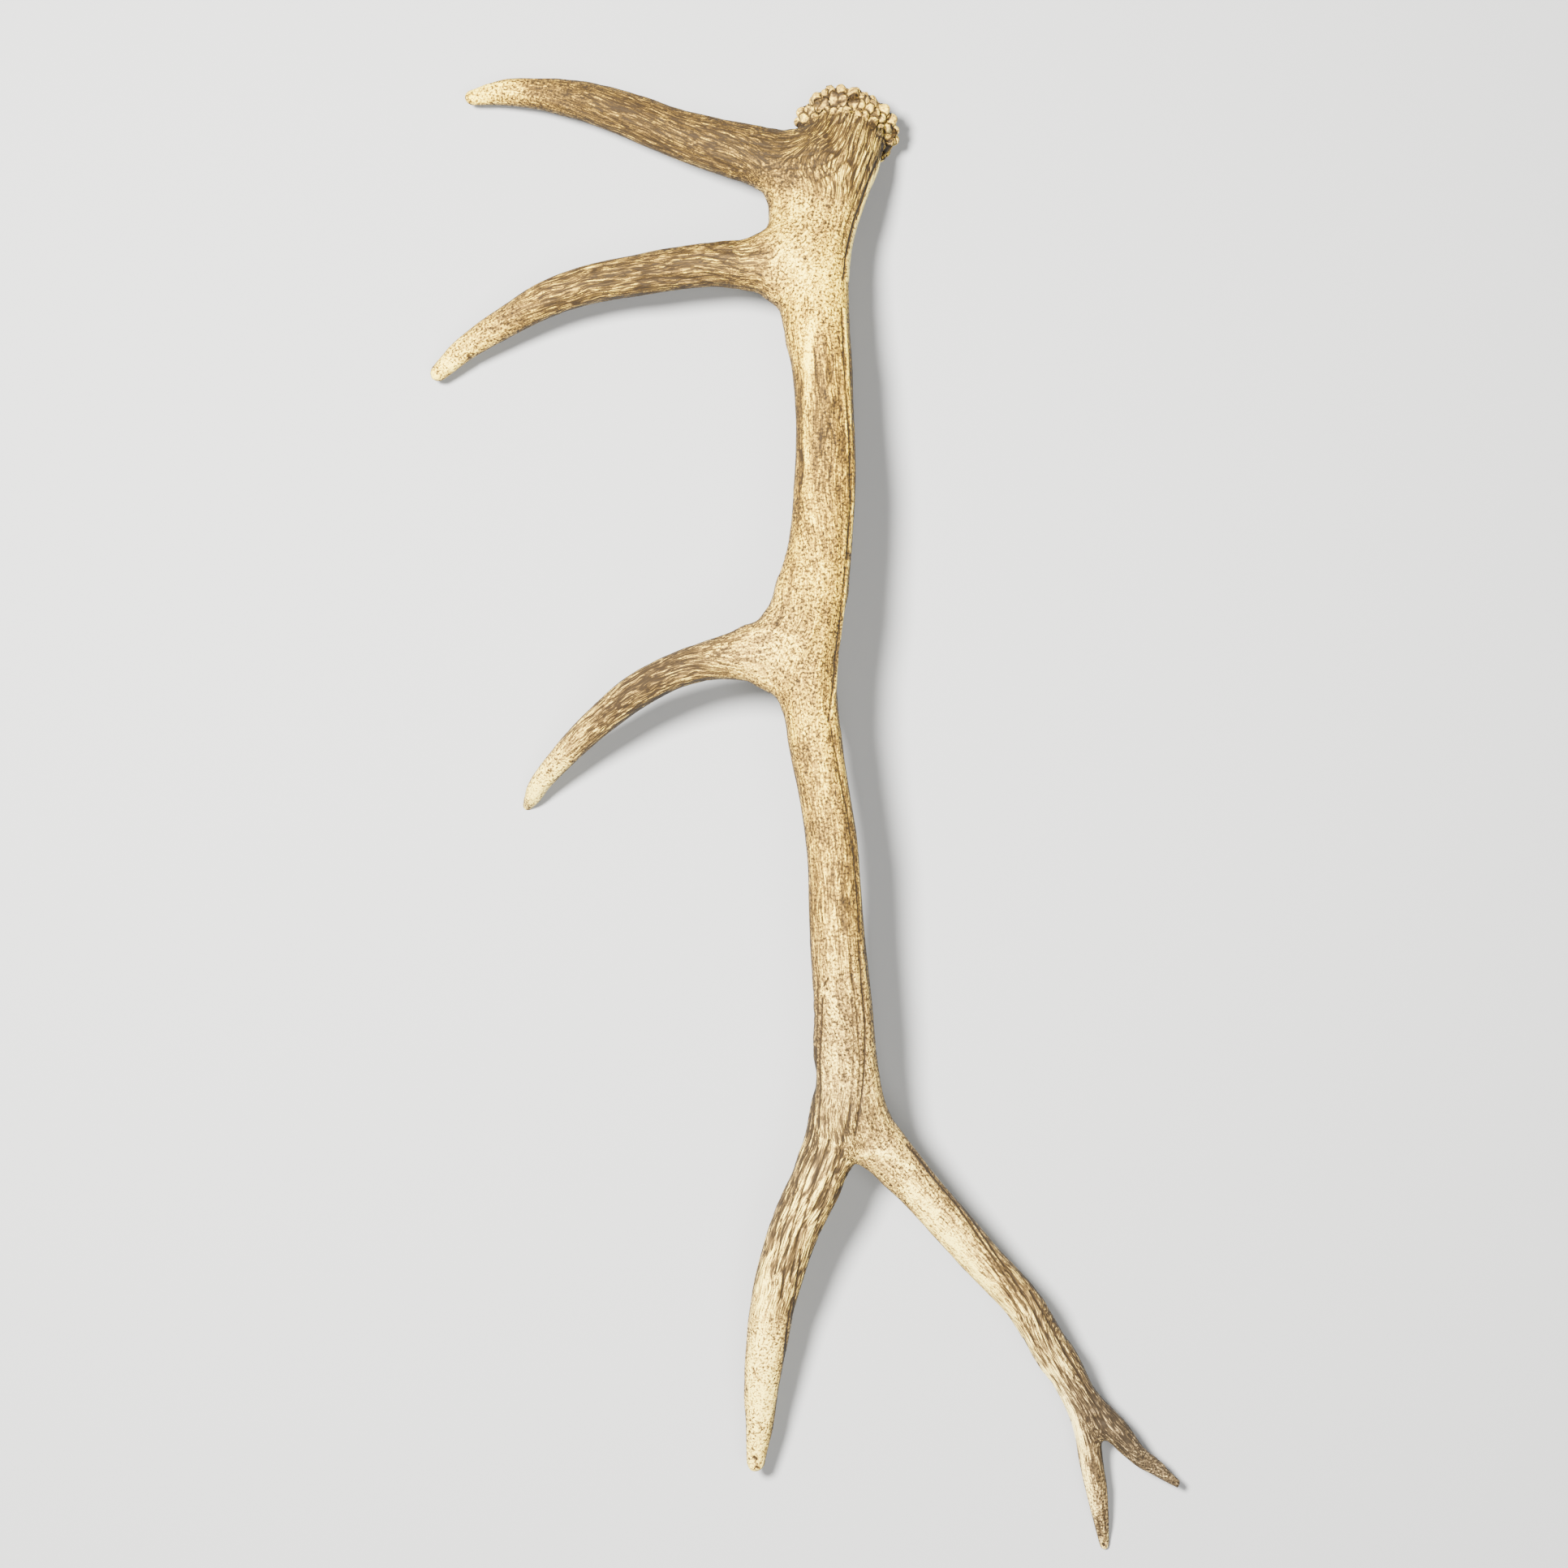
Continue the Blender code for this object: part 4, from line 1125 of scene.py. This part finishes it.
def dark_marks(tree, place, grain, level, loose):
    """Dashes and threads, specks where the fibres are muddled, pores and grooves."""
    knot = attribute(tree, "knot")
    straight = maths(tree, "SUBTRACT", 1, knot)
    dense = maths(tree, "SMOOTH_MIN", level, 0.42, 0.2)
    dash = fibre_lines(tree, grain, dense, 10, 0.82, 0.54, 0.68)
    thread = fibre_lines(tree, grain, dense, 30, 0.68, 0.56, 0.7)
    shade = maths(tree, "MULTIPLY", maths(tree, "MAXIMUM", dash, thread), straight)
    shade = maths(tree, "MULTIPLY_ADD", ramp(tree, loose, 0.51, 0.66), knot, shade)
    pore = ramp(tree, noise(tree, place, 900), 0.57, 0.68)
    shade = maths(tree, "MAXIMUM", shade, maths(tree, "MULTIPLY", pore, 0.7))
    # The groove value carries some painted shade from the marks, as well as grooves and clefts.
    return maths(tree, "MAXIMUM", shade, ramp(tree, attribute(tree, "groove"), 0.1, 0.6, 0, 1.3))


def bone_tones(tree, place, grain):
    """The tone of every spot, from 0 to 1.25, and its share of dark marks."""
    tone = attribute(tree, "tone")
    level = maths(tree, "SUBTRACT", tone, TONE_SHIFT)
    level = maths(tree, "MULTIPLY_ADD", noise(tree, place, 90, 3), 0.2, level)
    level = maths(tree, "MULTIPLY_ADD", fibre_noise(tree, grain, 14, 0.22), 0.46, level)
    loose = noise(tree, place, 540, 3)
    fine = fibre_noise(tree, grain, 12, 0.8, 4)
    fine = mixed(tree, attribute(tree, "knot"), fine, loose)
    shade = dark_marks(tree, place, grain, level, loose)
    depth = maths(tree, "SMOOTH_MIN", level, DARKEST_LEVEL, 0.3)
    depth = maths(tree, "MULTIPLY_ADD", shade, 0.74, depth)
    depth = swung(tree, fine, 0.5, 2.8, depth)
    # The burr's beads are quietly mottled, with dark crevices.
    quiet = swung(tree, loose, 0.36, 1.2, tone)
    quiet = maths(tree, "ADD", quiet, ramp(tree, attribute(tree, "groove"), 0.1, 0.9, 0, 0.8))
    return mixed(tree, attribute(tree, "calm"), depth, quiet), shade


def bone_colour(tree, depth):
    """The colour of each tone, more or less golden."""
    base = add_node(tree, "ValToRGB", {"Fac": maths(tree, "MULTIPLY", depth, 0.8)})
    elements = base.color_ramp.elements
    for element, (position, colour) in zip(elements, (COLOURS[0], COLOURS[-1])):
        element.position = position
        element.color = (*colour, 1)
    for position, colour in COLOURS[1:-1]:
        elements.new(position).color = (*colour, 1)
    settings = {"Saturation": attribute(tree, "warmth"), "Color": base.outputs["Color"]}
    return add_node(tree, "HueSaturation", settings).outputs["Color"]


def bone_material():
    """Dry antler bone, with streaks, dashes, specks and pores."""
    material = bpy.data.materials.new("antler_bone")
    material.use_nodes = True
    tree = material.node_tree
    shader = tree.nodes["Principled BSDF"]
    place = add_node(tree, "TexCoord").outputs["Object"]
    grain = add_node(tree, "Attribute", attribute_name="grain").outputs["Vector"]
    depth, shade = bone_tones(tree, place, grain)
    tree.links.new(bone_colour(tree, depth), shader.inputs["Base Color"])
    shader.inputs["Specular IOR Level"].default_value = 0.2
    speck = noise(tree, place, 800, 2)
    rough = ramp(tree, maths(tree, "ADD", speck, depth), 0.3, 1.3, 0.52, 0.74)
    tree.links.new(rough, shader.inputs["Roughness"])
    relief = maths(tree, "MULTIPLY_ADD", shade, -1.2, speck)
    settings = {"Height": relief, "Strength": 0.8, "Distance": 0.3 * MM}
    bump = add_node(tree, "Bump", settings)
    tree.links.new(bump.outputs["Normal"], shader.inputs["Normal"])
    return material


# -------- the studio


def floor():
    """The plain pale surface that the antler lies on."""
    bm = bmesh.new()
    bmesh.ops.create_grid(bm, x_segments=2, y_segments=2, size=15)
    mesh = finished_mesh(bm, "pale_floor")
    thing = new_object("pale_floor", mesh)
    material = bpy.data.materials.new("pale_paper")
    material.use_nodes = True
    shader = material.node_tree.nodes["Principled BSDF"]
    shader.inputs["Base Color"].default_value = (*FLOOR_COLOUR, 1)
    shader.inputs["Roughness"].default_value = 0.9
    mesh.materials.append(material)


def softbox(name, place, target, size, power):
    """A round soft light that points at a place."""
    light = bpy.data.lights.new(name, "AREA")
    light.shape = "DISK"
    light.size = size
    light.energy = power
    light.color = LAMP_COLOUR
    thing = new_object(name, light)
    thing.location = place
    thing.rotation_euler = (Vector(target) - Vector(place)).to_track_quat("-Z", "Y").to_euler()


def studio():
    """Two soft lights and pale air."""
    softbox("key_softbox", (-0.75, 0.45, 2.5), (0, 0, 0.05), 0.5, 610)
    softbox("top_softbox", (0.4, -0.5, 2.9), (0, -0.2, 0), 1.2, 100)
    world = bpy.data.worlds.new("studio_air")
    world.use_nodes = True
    ground = world.node_tree.nodes["Background"]
    ground.inputs["Color"].default_value = (*AIR_COLOUR, 1)
    ground.inputs["Strength"].default_value = 0.4
    bpy.context.scene.world = world


def camera():
    """The camera, looking straight down."""
    lens = bpy.data.cameras.new("camera_above")
    lens.sensor_fit = "HORIZONTAL"
    lens.angle = math.radians(VIEW_ANGLE)
    lens.clip_start = 0.05
    lens.clip_end = 50
    thing = new_object("camera_above", lens)
    thing.location = (CAMERA_PLACE[0] * MM, CAMERA_PLACE[1] * MM, CAMERA_HEIGHT * MM)
    bpy.context.scene.camera = thing


def main():
    """The antler and its studio."""
    antler = Antler()
    mesh = antler_blank(antler)
    dress(mesh, antler)
    cut_apart(mesh, antler)
    named_pieces(mesh, bone_material())
    floor()
    studio()
    camera()


main()
